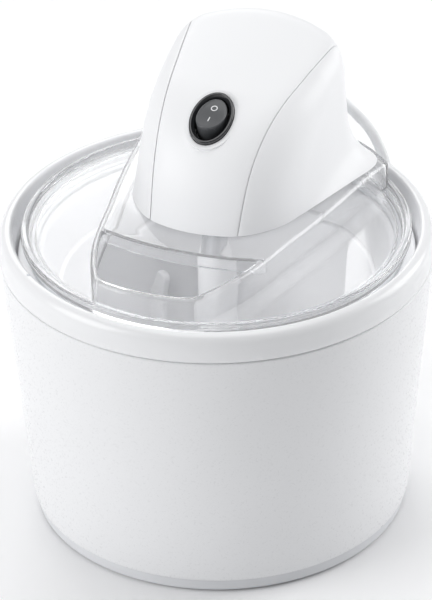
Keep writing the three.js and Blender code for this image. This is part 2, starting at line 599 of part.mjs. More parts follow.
// The middle cover is thicker under the switch, so that its seat has a floor.
const SEAT_FLOOR = 2;
const seatPad = prism(ellipse(SWITCH_A + 3, SWITCH_B + 3, 24), -SWITCH_SEAT - SEAT_FLOOR, -0.5);
const padPrism = moved(seatPad, switchFrame).intersect(outer);

const NECK_R = 4.6;
const alongCord = new THREE.Matrix4().makeTranslation(0, 0, CORD_EXIT_Z)
  .multiply(new THREE.Matrix4().makeRotationX(-Math.PI / 2));
const cordHole = moved(post(NECK_R + GAP, 60, TALL, 0, 0, 16), alongCord);

// The strain relief's flange stands on a flat round seat in the flared back wall.
const RELIEF_R = 6.2;
const wallAt = (z) => HOOD_BACK_R + HOOD_FLARE * Math.exp(-(z - HOOD_Z) / FLARE_FALL);
const bootBase = wallAt(CORD_EXIT_Z - RELIEF_R) + 2 * GAP;
const reliefSeat = moved(post(RELIEF_R + GAP, bootBase - GAP, TALL, 0, 0, 16), alongCord);

const strip = shell.intersect(stripWedge(-GAP / 2)).add(padPrism);
add('middle_cover', cut(strip, [seatPocket, barrelHole, cordHole, reliefSeat]), 'white');

function sideCover(sign) {
  const half = block(Math.min(0, sign * TALL), Math.max(0, sign * TALL), -TALL, TALL, 0, TALL);
  const wall = shell.subtract(stripWedge(GAP / 2)).intersect(half);
  const posts = bosses.filter((_, i) => Math.sign(bossSpots[i][0]) === sign).map((b) => b.intersect(outer));
  return cut(posts.reduce((all, p) => all.add(p), wall), bossHoles);
}
add('right_cover', sideCover(1), 'white');
add('left_cover', sideCover(-1), 'white');

// ---------------------------------------------------------------- motor unit: base plate and screws
const SPIGOT_DEPTH = 7;
const SPIGOT_WALL = 2;
const COLLAR_R = 7;
const plateOutline = hoodSection(PLATE_Z + PLATE_T, HOOD_WALL + RUN + GAP);
const plate = prism(plateOutline, PLATE_Z, PLATE_Z + PLATE_T);
const spigot = post(SPIGOT_R, PLATE_Z - SPIGOT_DEPTH, PLATE_Z + 1, 0, 0, 24)
  .subtract(post(SPIGOT_R - SPIGOT_WALL, PLATE_Z - SPIGOT_DEPTH + SPIGOT_WALL, PLATE_Z + PLATE_T, 0, 0, 24));
const headDepth = 1.8;
const plateHoles = bossSpots.flatMap(([x, y]) => [
  post(SCREW_R + GAP, 0, TALL, x, y, 8), post(SCREW_HEAD_R + GAP, 0, PLATE_Z + headDepth + GAP, x, y, 8),
]);
const wellHole = post(SPIGOT_R - SPIGOT_WALL, PLATE_Z, PLATE_Z + PLATE_T + 1, 0, 0, 24);
const basePlate = cut(plate.subtract(wellHole).add(spigot), [
  ...plateHoles, post(COLLAR_R + RUN, 0, TALL, 0, 0, 24),
]);
add('drive_base_plate', basePlate, 'white');

bossSpots.forEach(([x, y], i) => {
  const head = post(SCREW_HEAD_R, PLATE_Z, PLATE_Z + headDepth, x, y, 8);
  const shank = post(SCREW_R, PLATE_Z + 1, bossZ + BOSS_H - 2.5, x, y, 8);
  add(`cover_screw_${i + 1}`, head.add(shank), 'steel');
});

// ---------------------------------------------------------------- motor unit: gears
const MESH_SLACK = 0.3;
const IDLER_Y = (GEAR_M * (OUT_TEETH + SMALL_TEETH)) / 2 + MESH_SLACK;
const MOTOR_Y = IDLER_Y + (GEAR_M * (BIG_TEETH + PINION_TEETH)) / 2 + MESH_SLACK;

// A spur gear; phase 0 puts a tooth at +Y, phase 0.5 a gap at -Y for an even number of teeth.
function gear(teeth, z0, z1, y, phase) {
  const pitchR = (GEAR_M * teeth) / 2;
  const outline = [];
  for (let i = 0; i < teeth; i += 1) {
    const middleAngle = Math.PI / 2 + ((i + phase) * 2 * Math.PI) / teeth;
    const pitchAngle = (2 * Math.PI) / teeth;
    [[-0.27, -1.2], [-0.1, 0.7], [0.1, 0.7], [0.27, -1.2]].forEach(([share, rise]) => {
      const r = pitchR + rise * GEAR_M;
      const a = middleAngle + share * pitchAngle;
      outline.push([r * Math.cos(a), y + r * Math.sin(a)]);
    });
  }
  return prism(outline, z0, z1);
}

const SHAFT_R = 5;
const outShaftTop = CASE_TOP - GAP;
const socketRoof = SOCKET_Z + STUB_H + 3;
const shaftBody = turned([
  [0, SOCKET_Z], [COLLAR_R, SOCKET_Z], [COLLAR_R, CASE_Z - GAP], [SHAFT_R, CASE_Z - GAP],
  [SHAFT_R, outShaftTop], [0, outShaftTop],
], 24);
const socket = moved(prism(hexagon(STUB_AF + 2 * GAP), SOCKET_Z - 1, socketRoof), PADDLE_TURN);
add('output_shaft', shaftBody.subtract(socket), 'steel');

const outGear = gear(OUT_TEETH, OUT_GEAR_Z, OUT_GEAR_Z + GEAR_W, 0, 0);
add('output_gear', outGear.subtract(post(SHAFT_R + GAP, 0, TALL)), 'nylon');

const PIN_R = 2;
const idlerSmall = gear(SMALL_TEETH, OUT_GEAR_Z, BIG_GEAR_Z + 0.5, IDLER_Y, 0.5);
const idlerBig = gear(BIG_TEETH, BIG_GEAR_Z, BIG_GEAR_Z + GEAR_W, IDLER_Y, 0);
add('idler_gear', idlerSmall.add(idlerBig).subtract(post(PIN_R + GAP, 0, TALL, 0, IDLER_Y, 16)), 'nylon');
add('idler_pin', post(PIN_R, CASE_Z + CASE_WALL + GAP, CASE_TOP, 0, IDLER_Y, 16), 'steel');

const MOTOR_SHAFT_R = 2.5;
const pinion = gear(PINION_TEETH, BIG_GEAR_Z, BIG_GEAR_Z + GEAR_W, MOTOR_Y, 0.5);
add('motor_pinion', pinion.subtract(post(MOTOR_SHAFT_R + GAP, 0, TALL, 0, MOTOR_Y, 16)), 'nylon');

// Outline round two circles on the Y axis.
function capsule(r0, y1, r1, facets = 28) {
  const tilt = Math.asin((r0 - r1) / y1);
  const arc = (r, y, from, to) => Array.from({ length: facets / 2 + 1 }, (_, i) => {
    const a = from + ((to - from) * i) / (facets / 2);
    return [r * Math.cos(a), y + r * Math.sin(a)];
  });
  return [...arc(r1, y1, tilt, Math.PI - tilt), ...arc(r0, 0, Math.PI - tilt, 2 * Math.PI + tilt)];
}

const caseR = GEAR_M * (OUT_TEETH / 2 + 0.7) + 1.2 + CASE_WALL;
const caseOutline = (inset) => capsule(caseR - inset, MOTOR_Y, MOTOR_R + 1 - inset);
const BEARING_R = 9;
const caseBody = prism(caseOutline(0), CASE_Z, CASE_TOP)
  .subtract(prism(caseOutline(CASE_WALL), CASE_Z + CASE_WALL, CASE_TOP + 1))
  .subtract(post(BEARING_R + GAP, 0, TALL));
add('gearbox_case', caseBody, 'nylon');
const bearing = post(BEARING_R, CASE_Z, OUT_GEAR_Z - GAP).subtract(post(SHAFT_R + 0.2, 0, TALL));
add('output_bearing', bearing, 'copper');

const coverZ = CASE_TOP + GAP;
const gearCover = prism(caseOutline(0), coverZ, coverZ + GEAR_COVER_T)
  .subtract(post(MOTOR_SHAFT_R + RUN + 0.4, 0, TALL, 0, MOTOR_Y, 16));
add('gearbox_cover', gearCover, 'nylon');

// ---------------------------------------------------------------- motor unit: motor
const CAN_WALL = 1.4;
const canTop = MOTOR_Z + MOTOR_H;
const can = post(MOTOR_R, MOTOR_Z, canTop, 0, MOTOR_Y, 20)
  .subtract(post(MOTOR_R - CAN_WALL, MOTOR_Z + CAN_WALL, canTop + 1, 0, MOTOR_Y, 20))
  .subtract(post(MOTOR_SHAFT_R + RUN, 0, canTop, 0, MOTOR_Y, 16));
add('motor_can', can, 'steel');
add('motor_end_cap', post(MOTOR_R, canTop + GAP, canTop + GAP + 2, 0, MOTOR_Y, 20), 'nylon');

const statorR = MOTOR_R - CAN_WALL - GAP;
const rotorR = statorR - 3.6;
const stator = post(statorR, MOTOR_Z + 5, canTop - 3, 0, MOTOR_Y, 20)
  .subtract(post(rotorR + RUN, 0, TALL, 0, MOTOR_Y, 20));
add('motor_stator', stator, 'copper');
const rotor = post(rotorR, MOTOR_Z + 5.5, canTop - 3.5, 0, MOTOR_Y, 20)
  .add(post(MOTOR_SHAFT_R, BIG_GEAR_Z, canTop - 1, 0, MOTOR_Y, 16));
add('motor_rotor', rotor, 'steel');

// ---------------------------------------------------------------- motor unit: rocker switch
const BARREL_DEPTH = 16;
const seatFloor = -SWITCH_SEAT + GAP;
const bezelTop = seatFloor + SWITCH_T;
const bezel = prism(ellipse(SWITCH_A, SWITCH_B, 24), seatFloor, bezelTop)
  .add(prism(ellipse(barrelA, barrelB, 24), -BARREL_DEPTH, bezelTop - 1))
  .subtract(prism(ellipse(openA, openB, 24), -BARREL_DEPTH + 1.5, bezelTop + 1));
add('switch_housing', moved(bezel, switchFrame), 'black');

// The rocker's ends are arcs about its pivot, so they keep their distance from the housing as it tilts.
const acrossX = new THREE.Matrix4().makeTranslation(0, 0, -ROCKER_PIVOT)
  .multiply(new THREE.Matrix4().makeRotationY(Math.PI / 2));
const sweep = moved(post(ROCKER_SWEEP, -20, 20, 0, 0, 24), acrossX);
const cornerAngle = THREE.MathUtils.degToRad(30);
const lipY = ROCKER_SWEEP * Math.cos(cornerAngle);
const lipZ = ROCKER_SWEEP * Math.sin(cornerAngle) - ROCKER_PIVOT;
const DISH = 0.8;
const rockerSide = [
  [-lipY, lipZ], [0, lipZ - DISH], [lipY, lipZ], [20, lipZ], [20, -11], [-20, -11], [-20, lipZ],
];
const alongX = new THREE.Vector3(1, 0, 0);
const upY = new THREE.Vector3(0, 1, 0);
const outZ = new THREE.Vector3(0, 0, 1);
const sideways = new THREE.Matrix4().makeBasis(upY, outZ, alongX);
const rockerCut = moved(prism(rockerSide, -20, 20), sideways);
const rocker = prism(ellipse(openA - RUN, openB - ROCKER_END, 24), -8, 12)
  .intersect(sweep)
  .intersect(rockerCut);
const tilt = new THREE.Matrix4().makeTranslation(0, 0, -ROCKER_PIVOT)
  .multiply(new THREE.Matrix4().makeRotationX(THREE.MathUtils.degToRad(-ROCKER_TILT)))
  .multiply(new THREE.Matrix4().makeTranslation(0, 0, ROCKER_PIVOT));
add('switch_rocker', moved(rocker, switchFrame.clone().multiply(tilt)), 'black');

// ---------------------------------------------------------------- cord
function tube(points, steps) {
  const route = points.map(([x, y, z]) => new THREE.Vector3(x, y, z));
  const extrudePath = new THREE.CatmullRomCurve3(route, false, 'centripetal');
  const circle = new THREE.Shape(ellipse(CORD_R, CORD_R, 8).map(([x, y]) => new THREE.Vector2(x, y)));
  return solid(new THREE.ExtrudeGeometry(circle, { steps, bevelEnabled: false, extrudePath }));
}

const cordRun = [
  [0, 107.6, 190], [0, 110.5, 189.5], [1.9, 117.8, 187.5], [5.9, 124.6, 183.6],
  [11.7, 129.2, 177.9], [19.5, 130.5, 171.4], [28.2, 128.1, 166.2], [37.7, 122.1, 162.9],
  [44.7, 116.7, 158.2], [49.9, 113.2, 150.9], [52.9, 111.7, 141.1], [53.2, 112, 120],
  [53.8, 112, 90], [54.3, 112, 60], [54.4, 111.9, 40.1], [55, 110.8, 28.1],
  [53.8, 112.9, 18.5], [50.9, 117.9, 10.8], [46.9, 124.8, 5.9], [42.3, 132.8, 4.1],
  [37.4, 141.3, 4.1], [32.3, 150, 4.1], [30, 155.7, 4.1], [29.2, 161.5, 4.1],
];
add('cord', tube(cordRun, 40), 'cord');

const exitWall = wallAt(CORD_EXIT_Z);
const bootEnd = cordRun[0][1] - 1.6 * GAP;
const relief = turned([
  [0, exitWall - 8], [RELIEF_R, exitWall - 8], [RELIEF_R, exitWall - 5.8], [NECK_R, exitWall - 5.8],
  [NECK_R, bootBase], [RELIEF_R, bootBase], [RELIEF_R, bootBase + 2], [5, bootBase + 3],
  [3.7, bootEnd], [0, bootEnd],
], 16);
add('strain_relief', moved(relief, alongCord), 'cord');

// The coil's turns lie two across and two high; its solid is the ring that they fill.
const TIE_LIFT = 0.1;       // tie above the surface that it lies on
const coilBottom = TIE_LIFT + TIE_T + GAP - 0.1;
const coilTop = coilBottom + 4 * CORD_R + 0.4;
const ringIn = COIL_R - 2 * CORD_R - 0.2;
const ringOut = COIL_R + 2 * CORD_R + 0.2;
const coil = turned([
  [ringIn, coilBottom], [ringOut, coilBottom], [ringOut, coilTop], [ringIn, coilTop],
], 24);
const toCoil = new THREE.Matrix4().makeTranslation(COIL_X, COIL_Y, 0);
add('cord_coil', moved(coil, toCoil), 'cord');

const TIE_W = 7;
const tieGap = 0.5;
const tieBand = (grow) => block(
  -TIE_W / 2 - TIE_T + grow, TIE_W / 2 + TIE_T - grow, ringIn - tieGap - grow, ringOut + GAP + grow,
  TIE_LIFT + TIE_T - grow, coilTop + GAP + grow,
);
add('cord_tie', moved(tieBand(TIE_T).subtract(tieBand(0)), toCoil), 'black');

const cordTail = [[-55.3, 159.5, 9.9], [-60, 151.5, 8.6], [-65.5, 144, 7.4], [-71, 137, 7]];
add('cord_tail', tube(cordTail, 4), 'cord');

// Two-pin flat plug, lying on its broad face.
const PLUG_HALF_T = 6.8;
const PLUG_LENGTH = 36;
const PLUG_TURN = Math.atan2(-7, -5.5);
const plugHalf = [[0, 5], [4, 6.5], [20, 9], [PLUG_LENGTH - 2, 13.5], [PLUG_LENGTH, 12.5]];
const plugOutline = [...plugHalf.map(([x, y]) => [x, -y]), ...plugHalf.reverse()];
const PIN_SPREAD = 9.2;
const PIN_LENGTH = 19;
const PIN_HALF = 2;
const plugFrame = new THREE.Matrix4().makeTranslation(-71.3, 136.6, PLUG_HALF_T + 0.2)
  .multiply(new THREE.Matrix4().makeRotationZ(PLUG_TURN));
add('plug_body', moved(prism(plugOutline, -PLUG_HALF_T, PLUG_HALF_T), plugFrame), 'cord');
[1, -1].forEach((side, i) => {
  const pin = turned([
    [0, 0], [PIN_HALF, 0], [PIN_HALF, PIN_LENGTH - 1.4], [PIN_HALF - 0.8, PIN_LENGTH], [0, PIN_LENGTH],
  ], 12);
  const along = new THREE.Matrix4().makeTranslation(PLUG_LENGTH + GAP, side * PIN_SPREAD, 0)
    .multiply(new THREE.Matrix4().makeRotationY(Math.PI / 2));
  add(`plug_pin_${i + 1}`, moved(pin, plugFrame.clone().multiply(along)), 'steel');
});

export default group;
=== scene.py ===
"""Ice cream maker: smooth surfaces, materials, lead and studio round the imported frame.

Lengths in this script are millimetres in the frame's axes (+Z up, front towards -Y) unless a name says
otherwise; MM turns them into Blender's metres.
"""
import json
import math

import bmesh
import bpy
import numpy as np
from mathutils import Matrix, Vector


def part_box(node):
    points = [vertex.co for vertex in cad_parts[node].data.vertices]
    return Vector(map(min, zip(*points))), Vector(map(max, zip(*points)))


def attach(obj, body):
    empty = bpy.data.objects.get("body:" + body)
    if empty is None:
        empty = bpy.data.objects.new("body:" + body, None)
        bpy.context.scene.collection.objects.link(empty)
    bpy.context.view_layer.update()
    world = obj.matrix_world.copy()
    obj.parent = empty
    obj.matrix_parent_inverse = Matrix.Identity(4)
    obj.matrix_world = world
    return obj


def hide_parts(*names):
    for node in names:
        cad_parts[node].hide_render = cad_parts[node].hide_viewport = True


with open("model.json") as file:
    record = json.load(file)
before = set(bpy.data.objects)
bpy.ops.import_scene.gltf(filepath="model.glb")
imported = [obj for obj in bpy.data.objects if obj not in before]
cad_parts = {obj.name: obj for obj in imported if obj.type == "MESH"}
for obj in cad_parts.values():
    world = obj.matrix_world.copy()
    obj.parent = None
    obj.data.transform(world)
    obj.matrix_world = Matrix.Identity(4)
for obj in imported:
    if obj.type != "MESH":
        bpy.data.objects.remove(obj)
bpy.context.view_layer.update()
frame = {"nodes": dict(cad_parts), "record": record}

MM = 0.001
GAP = 0.3
scene = bpy.context.scene
nodes = frame["nodes"]


def low(node):
    return Vector(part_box(node)[0]) / MM


def high(node):
    return Vector(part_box(node)[1]) / MM


# ---------------- camera
VIEW_AZIMUTH = math.radians(23)
VIEW_ELEVATION = math.radians(31.6)
VIEW_ROLL = math.radians(-1.15)
VIEW_DISTANCE = 2.0  # metres
VIEW_LENS = 230.7
VIEW_TARGET = Vector((-0.84, -0.36, 116.12)) * MM


def make_camera():
    backward = Vector((
        math.sin(VIEW_AZIMUTH) * math.cos(VIEW_ELEVATION),
        -math.cos(VIEW_AZIMUTH) * math.cos(VIEW_ELEVATION),
        math.sin(VIEW_ELEVATION),
    ))
    right = Vector((math.cos(VIEW_AZIMUTH), math.sin(VIEW_AZIMUTH), 0))
    up = backward.cross(right)
    rolled_right = right * math.cos(VIEW_ROLL) + up * math.sin(VIEW_ROLL)
    rolled_up = up * math.cos(VIEW_ROLL) - right * math.sin(VIEW_ROLL)
    data = bpy.data.cameras.new("camera")
    data.lens = VIEW_LENS
    data.sensor_width = 36
    camera = bpy.data.objects.new("camera", data)
    scene.collection.objects.link(camera)
    turn = Matrix((rolled_right, rolled_up, backward)).transposed().to_4x4()
    camera.matrix_world = Matrix.Translation(VIEW_TARGET + backward * VIEW_DISTANCE) @ turn
    scene.camera = camera


make_camera()


# ---------------- materials
class Shader:
    """A Principled material with helpers that add procedural detail in object coordinates."""

    def __init__(self, name, **sockets):
        self.material = bpy.data.materials.new(name)
        self.material.use_nodes = True
        self.tree = self.material.node_tree
        self.principled = self.tree.nodes["Principled BSDF"]
        for socket, value in sockets.items():
            self.principled.inputs[socket.replace("_", " ")].default_value = value
        self.where = self.tree.nodes.new("ShaderNodeTexCoord").outputs["Object"]

    def link(self, source, socket):
        self.tree.links.new(source, socket)

    def noise(self, scale, detail=3.0, roughness=0.5, stretch=None):
        node = self.tree.nodes.new("ShaderNodeTexNoise")
        node.inputs["Scale"].default_value = scale
        node.inputs["Detail"].default_value = detail
        node.inputs["Roughness"].default_value = roughness
        if stretch:
            mapping = self.tree.nodes.new("ShaderNodeMapping")
            mapping.inputs["Scale"].default_value = stretch
            self.link(self.where, mapping.inputs["Vector"])
            self.link(mapping.outputs["Vector"], node.inputs["Vector"])
        else:
            self.link(self.where, node.inputs["Vector"])
        return node.outputs["Fac"]

    def colours(self, source, first, second, start=0.35, end=0.65):
        ramp = self.tree.nodes.new("ShaderNodeValToRGB")
        ramp.color_ramp.elements[0].position = start
        ramp.color_ramp.elements[1].position = end
        ramp.color_ramp.elements[0].color = (*first, 1)
        ramp.color_ramp.elements[1].color = (*second, 1)
        self.link(source, ramp.inputs["Fac"])
        self.link(ramp.outputs["Color"], self.principled.inputs["Base Color"])

    def roughness(self, source, least, most):
        spread = self.tree.nodes.new("ShaderNodeMapRange")
        spread.inputs["From Min"].default_value = 0.3
        spread.inputs["From Max"].default_value = 0.7
        spread.inputs["To Min"].default_value = least
        spread.inputs["To Max"].default_value = most
        self.link(source, spread.inputs["Value"])
        self.link(spread.outputs["Result"], self.principled.inputs["Roughness"])

    def bump(self, source, depth, strength=1.0):
        node = self.tree.nodes.new("ShaderNodeBump")
        node.inputs["Strength"].default_value = strength
        node.inputs["Distance"].default_value = depth * MM
        before = self.principled.inputs["Normal"].links
        if before:
            self.link(before[0].from_socket, node.inputs["Normal"])
        self.link(source, node.inputs["Height"])
        self.link(node.outputs["Normal"], self.principled.inputs["Normal"])


def shade(colour, factor):
    return tuple(min(1.0, channel * factor) for channel in colour)


def moulded(name, colour, least, most, grain=0.006, coat=0.0, specular=0.5):
    """Moulded plastic: fine colour mottle, uneven gloss and a fine grain."""
    made = Shader(name, Coat_Weight=coat, Coat_Roughness=0.08, Specular_IOR_Level=specular)
    middle = (least + most) / 2
    made.colours(made.noise(900, 3), shade(colour, 0.998), shade(colour, 1.002), 0.2, 0.8)
    made.roughness(made.noise(900, 3), middle - (middle - least) / 4, middle + (most - middle) / 4)
    made.bump(made.noise(2500, 1), grain, 0.02)
    return made.material


def metal(name, colour, least, most, stretch):
    """Worked metal: fine drawn or turned lines along one axis."""
    made = Shader(name, Metallic=1.0)
    lines = made.noise(260, 4, 0.6, stretch)
    made.colours(lines, shade(colour, 0.9), shade(colour, 1.08))
    made.roughness(made.noise(60, 3), least, most)
    made.bump(lines, 0.01, 0.5)
    return made.material


def rubbery(name, colour, least, most, grain=0.02):
    made = Shader(name, Specular_IOR_Level=0.35)
    made.colours(made.noise(60, 4), shade(colour, 0.93), shade(colour, 1.05))
    made.roughness(made.noise(90, 3), least, most)
    made.bump(made.noise(900, 3), grain, 0.6)
    return made.material


def clear_plastic():
    """Clear, slightly hazy plastic with uneven gloss, which lets shadow and diffuse rays through unbent."""
    made = Shader(
        "clear_plastic", Transmission_Weight=0.88, IOR=1.42, Base_Color=(0.985, 0.987, 0.993, 1),
        Specular_IOR_Level=0.5,
    )
    made.roughness(made.noise(25, 3), 0.02, 0.06)
    made.bump(made.noise(18, 2), 0.02, 0.15)
    through = made.tree.nodes.new("ShaderNodeBsdfTransparent")
    through.inputs["Color"].default_value = (0.99, 0.99, 0.995, 1)
    path = made.tree.nodes.new("ShaderNodeLightPath")
    shown = made.principled.outputs["BSDF"]
    for ray in ("Is Shadow Ray", "Is Diffuse Ray"):
        mix = made.tree.nodes.new("ShaderNodeMixShader")
        made.link(path.outputs[ray], mix.inputs["Fac"])
        made.link(shown, mix.inputs[1])
        made.link(through.outputs["BSDF"], mix.inputs[2])
        shown = mix.outputs["Shader"]
    made.link(shown, made.tree.nodes["Material Output"].inputs["Surface"])
    return made.material


def frozen_gel():
    made = Shader("frozen_gel", Subsurface_Weight=0.3, Subsurface_Scale=0.004)
    made.colours(made.noise(120, 5), (0.45, 0.66, 0.82), (0.75, 0.88, 0.95))
    made.roughness(made.noise(200, 4), 0.25, 0.6)
    made.bump(made.noise(300, 4), 0.15, 0.6)
    return made.material


WHITE = (0.875, 0.88, 0.89)
FINISH = {
    "housing_white": moulded("housing_plastic", WHITE, 0.24, 0.32),
    "rim_white": moulded("rim_plastic", shade(WHITE, 1.01), 0.2, 0.28),
    "inner_grey": moulded("sleeve_plastic", (0.62, 0.64, 0.67), 0.4, 0.5, 0.015),
    "base_grey": moulded("base_plastic", (0.76, 0.77, 0.79), 0.4, 0.52, 0.015),
    "pad_rubber": rubbery("pad_rubber", (0.045, 0.045, 0.048), 0.6, 0.8),
    "screw_steel": metal("zinc_screw", (0.6, 0.61, 0.63), 0.25, 0.4, (1, 1, 8)),
    "bowl_white": moulded("bowl_plastic", shade(WHITE, 0.98), 0.3, 0.38),
    "liner_grey": moulded("liner_coating", (0.95, 0.953, 0.962), 0.4, 0.5, 0.01),
    "gel_blue": frozen_gel(),
    "seal_silicone": rubbery("silicone", (0.74, 0.76, 0.78), 0.4, 0.55, 0.01),
    "collar_white": moulded("collar_plastic", shade(WHITE, 0.99), 0.28, 0.36),
    "lid_clear": clear_plastic(),
    "paddle_frost": moulded("paddle_plastic", (0.93, 0.933, 0.94), 0.4, 0.5, 0.012),
    "cover_white": moulded("cover_plastic", WHITE, 0.36, 0.44, specular=0.35),
    "side_white": moulded("side_plastic", shade(WHITE, 0.995), 0.34, 0.42, specular=0.4),
    "plate_white": moulded("plate_plastic", shade(WHITE, 0.97), 0.4, 0.5, 0.015),
    "shaft_steel": metal("turned_steel", (0.6, 0.61, 0.63), 0.18, 0.3, (1, 1, 25)),
    "gear_nylon": moulded("nylon", (0.74, 0.72, 0.65), 0.4, 0.52, 0.02),
    "pinion_brass": metal("turned_brass", (0.75, 0.56, 0.27), 0.2, 0.35, (1, 1, 25)),
    "motor_steel": metal("plated_steel", (0.56, 0.57, 0.59), 0.25, 0.4, (1, 1, 12)),
    "switch_black": moulded("switch_plastic", (0.022, 0.023, 0.026), 0.16, 0.24, 0.012, coat=0.5),
    "rocker_black": moulded("rocker_plastic", (0.075, 0.078, 0.083), 0.3, 0.4, 0.012, coat=0.3),
    "relief_white": rubbery("relief_rubber", (0.8, 0.81, 0.82), 0.45, 0.6, 0.01),
    "cord_white": rubbery("cord_sheath", (0.8, 0.81, 0.82), 0.4, 0.55, 0.01),
    "tie_black": moulded("tie_plastic", (0.03, 0.03, 0.032), 0.4, 0.55, 0.02),
    "plug_white": moulded("plug_plastic", (0.8, 0.81, 0.82), 0.35, 0.45, 0.015),
    "pin_brass": metal("nickel_pin", (0.7, 0.66, 0.56), 0.16, 0.28, (1, 1, 20)),
}

for part in frame["record"]["subparts"]:
    cad = nodes[part["node"]]
    cad.data.materials.clear()
    cad.data.materials.append(FINISH[part["material_slot"]])


# ---------------- mesh helpers
SMOOTH_UNDER = math.radians(38)


def new_object(name, points, faces):
    """A mesh object from points in millimetres, facing out, smooth where its faces meet gently."""
    mesh = bpy.data.meshes.new(name)
    mesh.from_pydata([tuple(c * MM for c in p) for p in points], [], faces)
    obj = bpy.data.objects.new(name, mesh)
    scene.collection.objects.link(obj)
    tidy_mesh(obj)
    return obj


def tidy_mesh(obj):
    shape = bmesh.new()
    shape.from_mesh(obj.data)
    bmesh.ops.remove_doubles(shape, verts=shape.verts, dist=1e-6)
    bmesh.ops.dissolve_degenerate(shape, edges=shape.edges, dist=1e-6)
    bmesh.ops.recalc_face_normals(shape, faces=shape.faces)
    for face in shape.faces:
        face.smooth = True
    shape.to_mesh(obj.data)
    shape.free()
    obj.data.set_sharp_from_angle(angle=SMOOTH_UNDER)
    obj.data.update()


def finish_piece(obj, body, slot, *replaced):
    obj.data.materials.clear()
    obj.data.materials.append(FINISH[slot])
    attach(obj, body)
    if replaced:
        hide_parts(*replaced)


def rounded(corners, steps=5):
    """A closed outline from (x, y, radius) corners, each an arc with a support point at each end."""
    outline = []
    count = len(corners)
    for i, (x, y, radius) in enumerate(corners):
        here = Vector((x, y))
        before = Vector(corners[i - 1][:2]) - here
        after = Vector(corners[(i + 1) % count][:2]) - here
        if radius <= 0 or before.length < 1e-6 or after.length < 1e-6:
            outline.append((x, y))
            continue
        half = before.angle(after) / 2
        reach_along = min(radius / math.tan(half), before.length * 0.45, after.length * 0.45)
        arc_radius = reach_along * math.tan(half)
        bisector = (before.normalized() + after.normalized()).normalized()
        centre = here + bisector * (arc_radius / math.sin(half))
        start = here + before.normalized() * reach_along
        end = here + after.normalized() * reach_along
        support = min(reach_along * 0.12, 0.2)
        outline.append(tuple(start + before.normalized() * support))
        a0 = math.atan2(start.y - centre.y, start.x - centre.x)
        sweep = math.atan2(end.y - centre.y, end.x - centre.x) - a0
        sweep = (sweep + math.pi) % (2 * math.pi) - math.pi
        for k in range(steps + 1):
            a = a0 + sweep * k / steps
            outline.append((centre.x + arc_radius * math.cos(a), centre.y + arc_radius * math.sin(a)))
        outline.append(tuple(end + after.normalized() * support))
    return outline


def loft(loops, closed_path=False, caps=True):
    """Points and faces through loops of equally many points; both ends are closed with one face each."""
    count = len(loops[0])
    points = [p for loop in loops for p in loop]
    faces = []
    last = len(loops) if closed_path else len(loops) - 1
    for j in range(last):
        k = (j + 1) % len(loops)
        for i in range(count):
            n = (i + 1) % count
            faces.append((j * count + i, j * count + n, k * count + n, k * count + i))
    if caps and not closed_path:
        faces.append(tuple(range(count))[::-1])
        faces.append(tuple((len(loops) - 1) * count + i for i in range(count)))
    return points, faces


def turned(name, outline, segments=160):
    """A body of revolution about Z from a closed outline of (radius, height)."""
    loops = []
    for k in range(segments):
        a = 2 * math.pi * k / segments
        loops.append([(max(r, 0) * math.cos(a), max(r, 0) * math.sin(a), z) for r, z in outline])
    return new_object(name, *loft(loops, closed_path=True))


def ellipse(a, b, count, x, y):
    turns = [2 * math.pi * i / count for i in range(count)]
    return [(x + a * math.cos(t), y + b * math.sin(t)) for t in turns]


def prism(name, outline, z0, z1):
    return new_object(name, *loft([[(x, y, z0) for x, y in outline], [(x, y, z1) for x, y in outline]]))


def post(z0, z1, a, b, count, x=0.0, y=0.0):
    """An upright oval solid to join or cut with."""
    return prism("tool", ellipse(a, b, count, x, y), z0, z1)


def stack(name, levels):
    """A solid through (outline, height) levels."""
    return new_object(name, *loft([[(x, y, z) for x, y in outline] for outline, z in levels]))


def place(obj, matrix):
    """Moves an object's own mesh by a matrix in millimetres."""
    scaled = matrix.copy()
    scaled.translation = matrix.translation * MM
    obj.data.transform(scaled)
    return obj


def combine(obj, tools, how):
    """Joins tools to obj or cuts them from it, and removes the tools."""
    for tool in tools:
        modifier = obj.modifiers.new("combine", "BOOLEAN")
        modifier.operation = how
        modifier.solver = "EXACT"
        modifier.object = tool
        bpy.context.view_layer.update()
        evaluated = obj.evaluated_get(bpy.context.evaluated_depsgraph_get())
        mesh = bpy.data.meshes.new_from_object(evaluated)
        obj.modifiers.remove(modifier)
        old = obj.data
        obj.data = mesh
        bpy.data.meshes.remove(old)
        bpy.data.objects.remove(tool)
    tidy_mesh(obj)
    return obj


def resampled(outline, step):
    """The closed outline with points about a step apart."""
    points = np.array([*outline, outline[0]])
    lengths = np.concatenate([[0], np.cumsum(np.hypot(*np.diff(points, axis=0).T))])
    count = max(8, int(lengths[-1] / step))
    at = np.linspace(0, lengths[-1], count, endpoint=False)
    return np.column_stack([np.interp(at, lengths, points[:, k]) for k in range(2)])


def softened(outline, step, reach_mm):
    """The closed outline with its corners smoothed over a given reach."""
    points = resampled(outline, step)
    half = int(3 * reach_mm / step)
    weights = np.exp(-0.5 * (np.arange(-half, half + 1) * step / reach_mm) ** 2)
    weights /= weights.sum()
    return sum(w * np.roll(points, k, axis=0) for k, w in zip(range(-half, half + 1), weights))


def inset(outline, distance):
    """The closed counter-clockwise outline moved inwards by a small distance."""
    points = np.asarray(outline)
    along = np.roll(points, -1, axis=0) - np.roll(points, 1, axis=0)
    along /= np.hypot(*along.T)[:, None]
    return points + distance * np.column_stack([-along[:, 1], along[:, 0]])


def counter_clockwise(outline):
    points = np.asarray(outline)
    x, y = points.T
    area = np.sum(x * np.roll(y, -1) - y * np.roll(x, -1))
    return points if area > 0 else points[::-1]


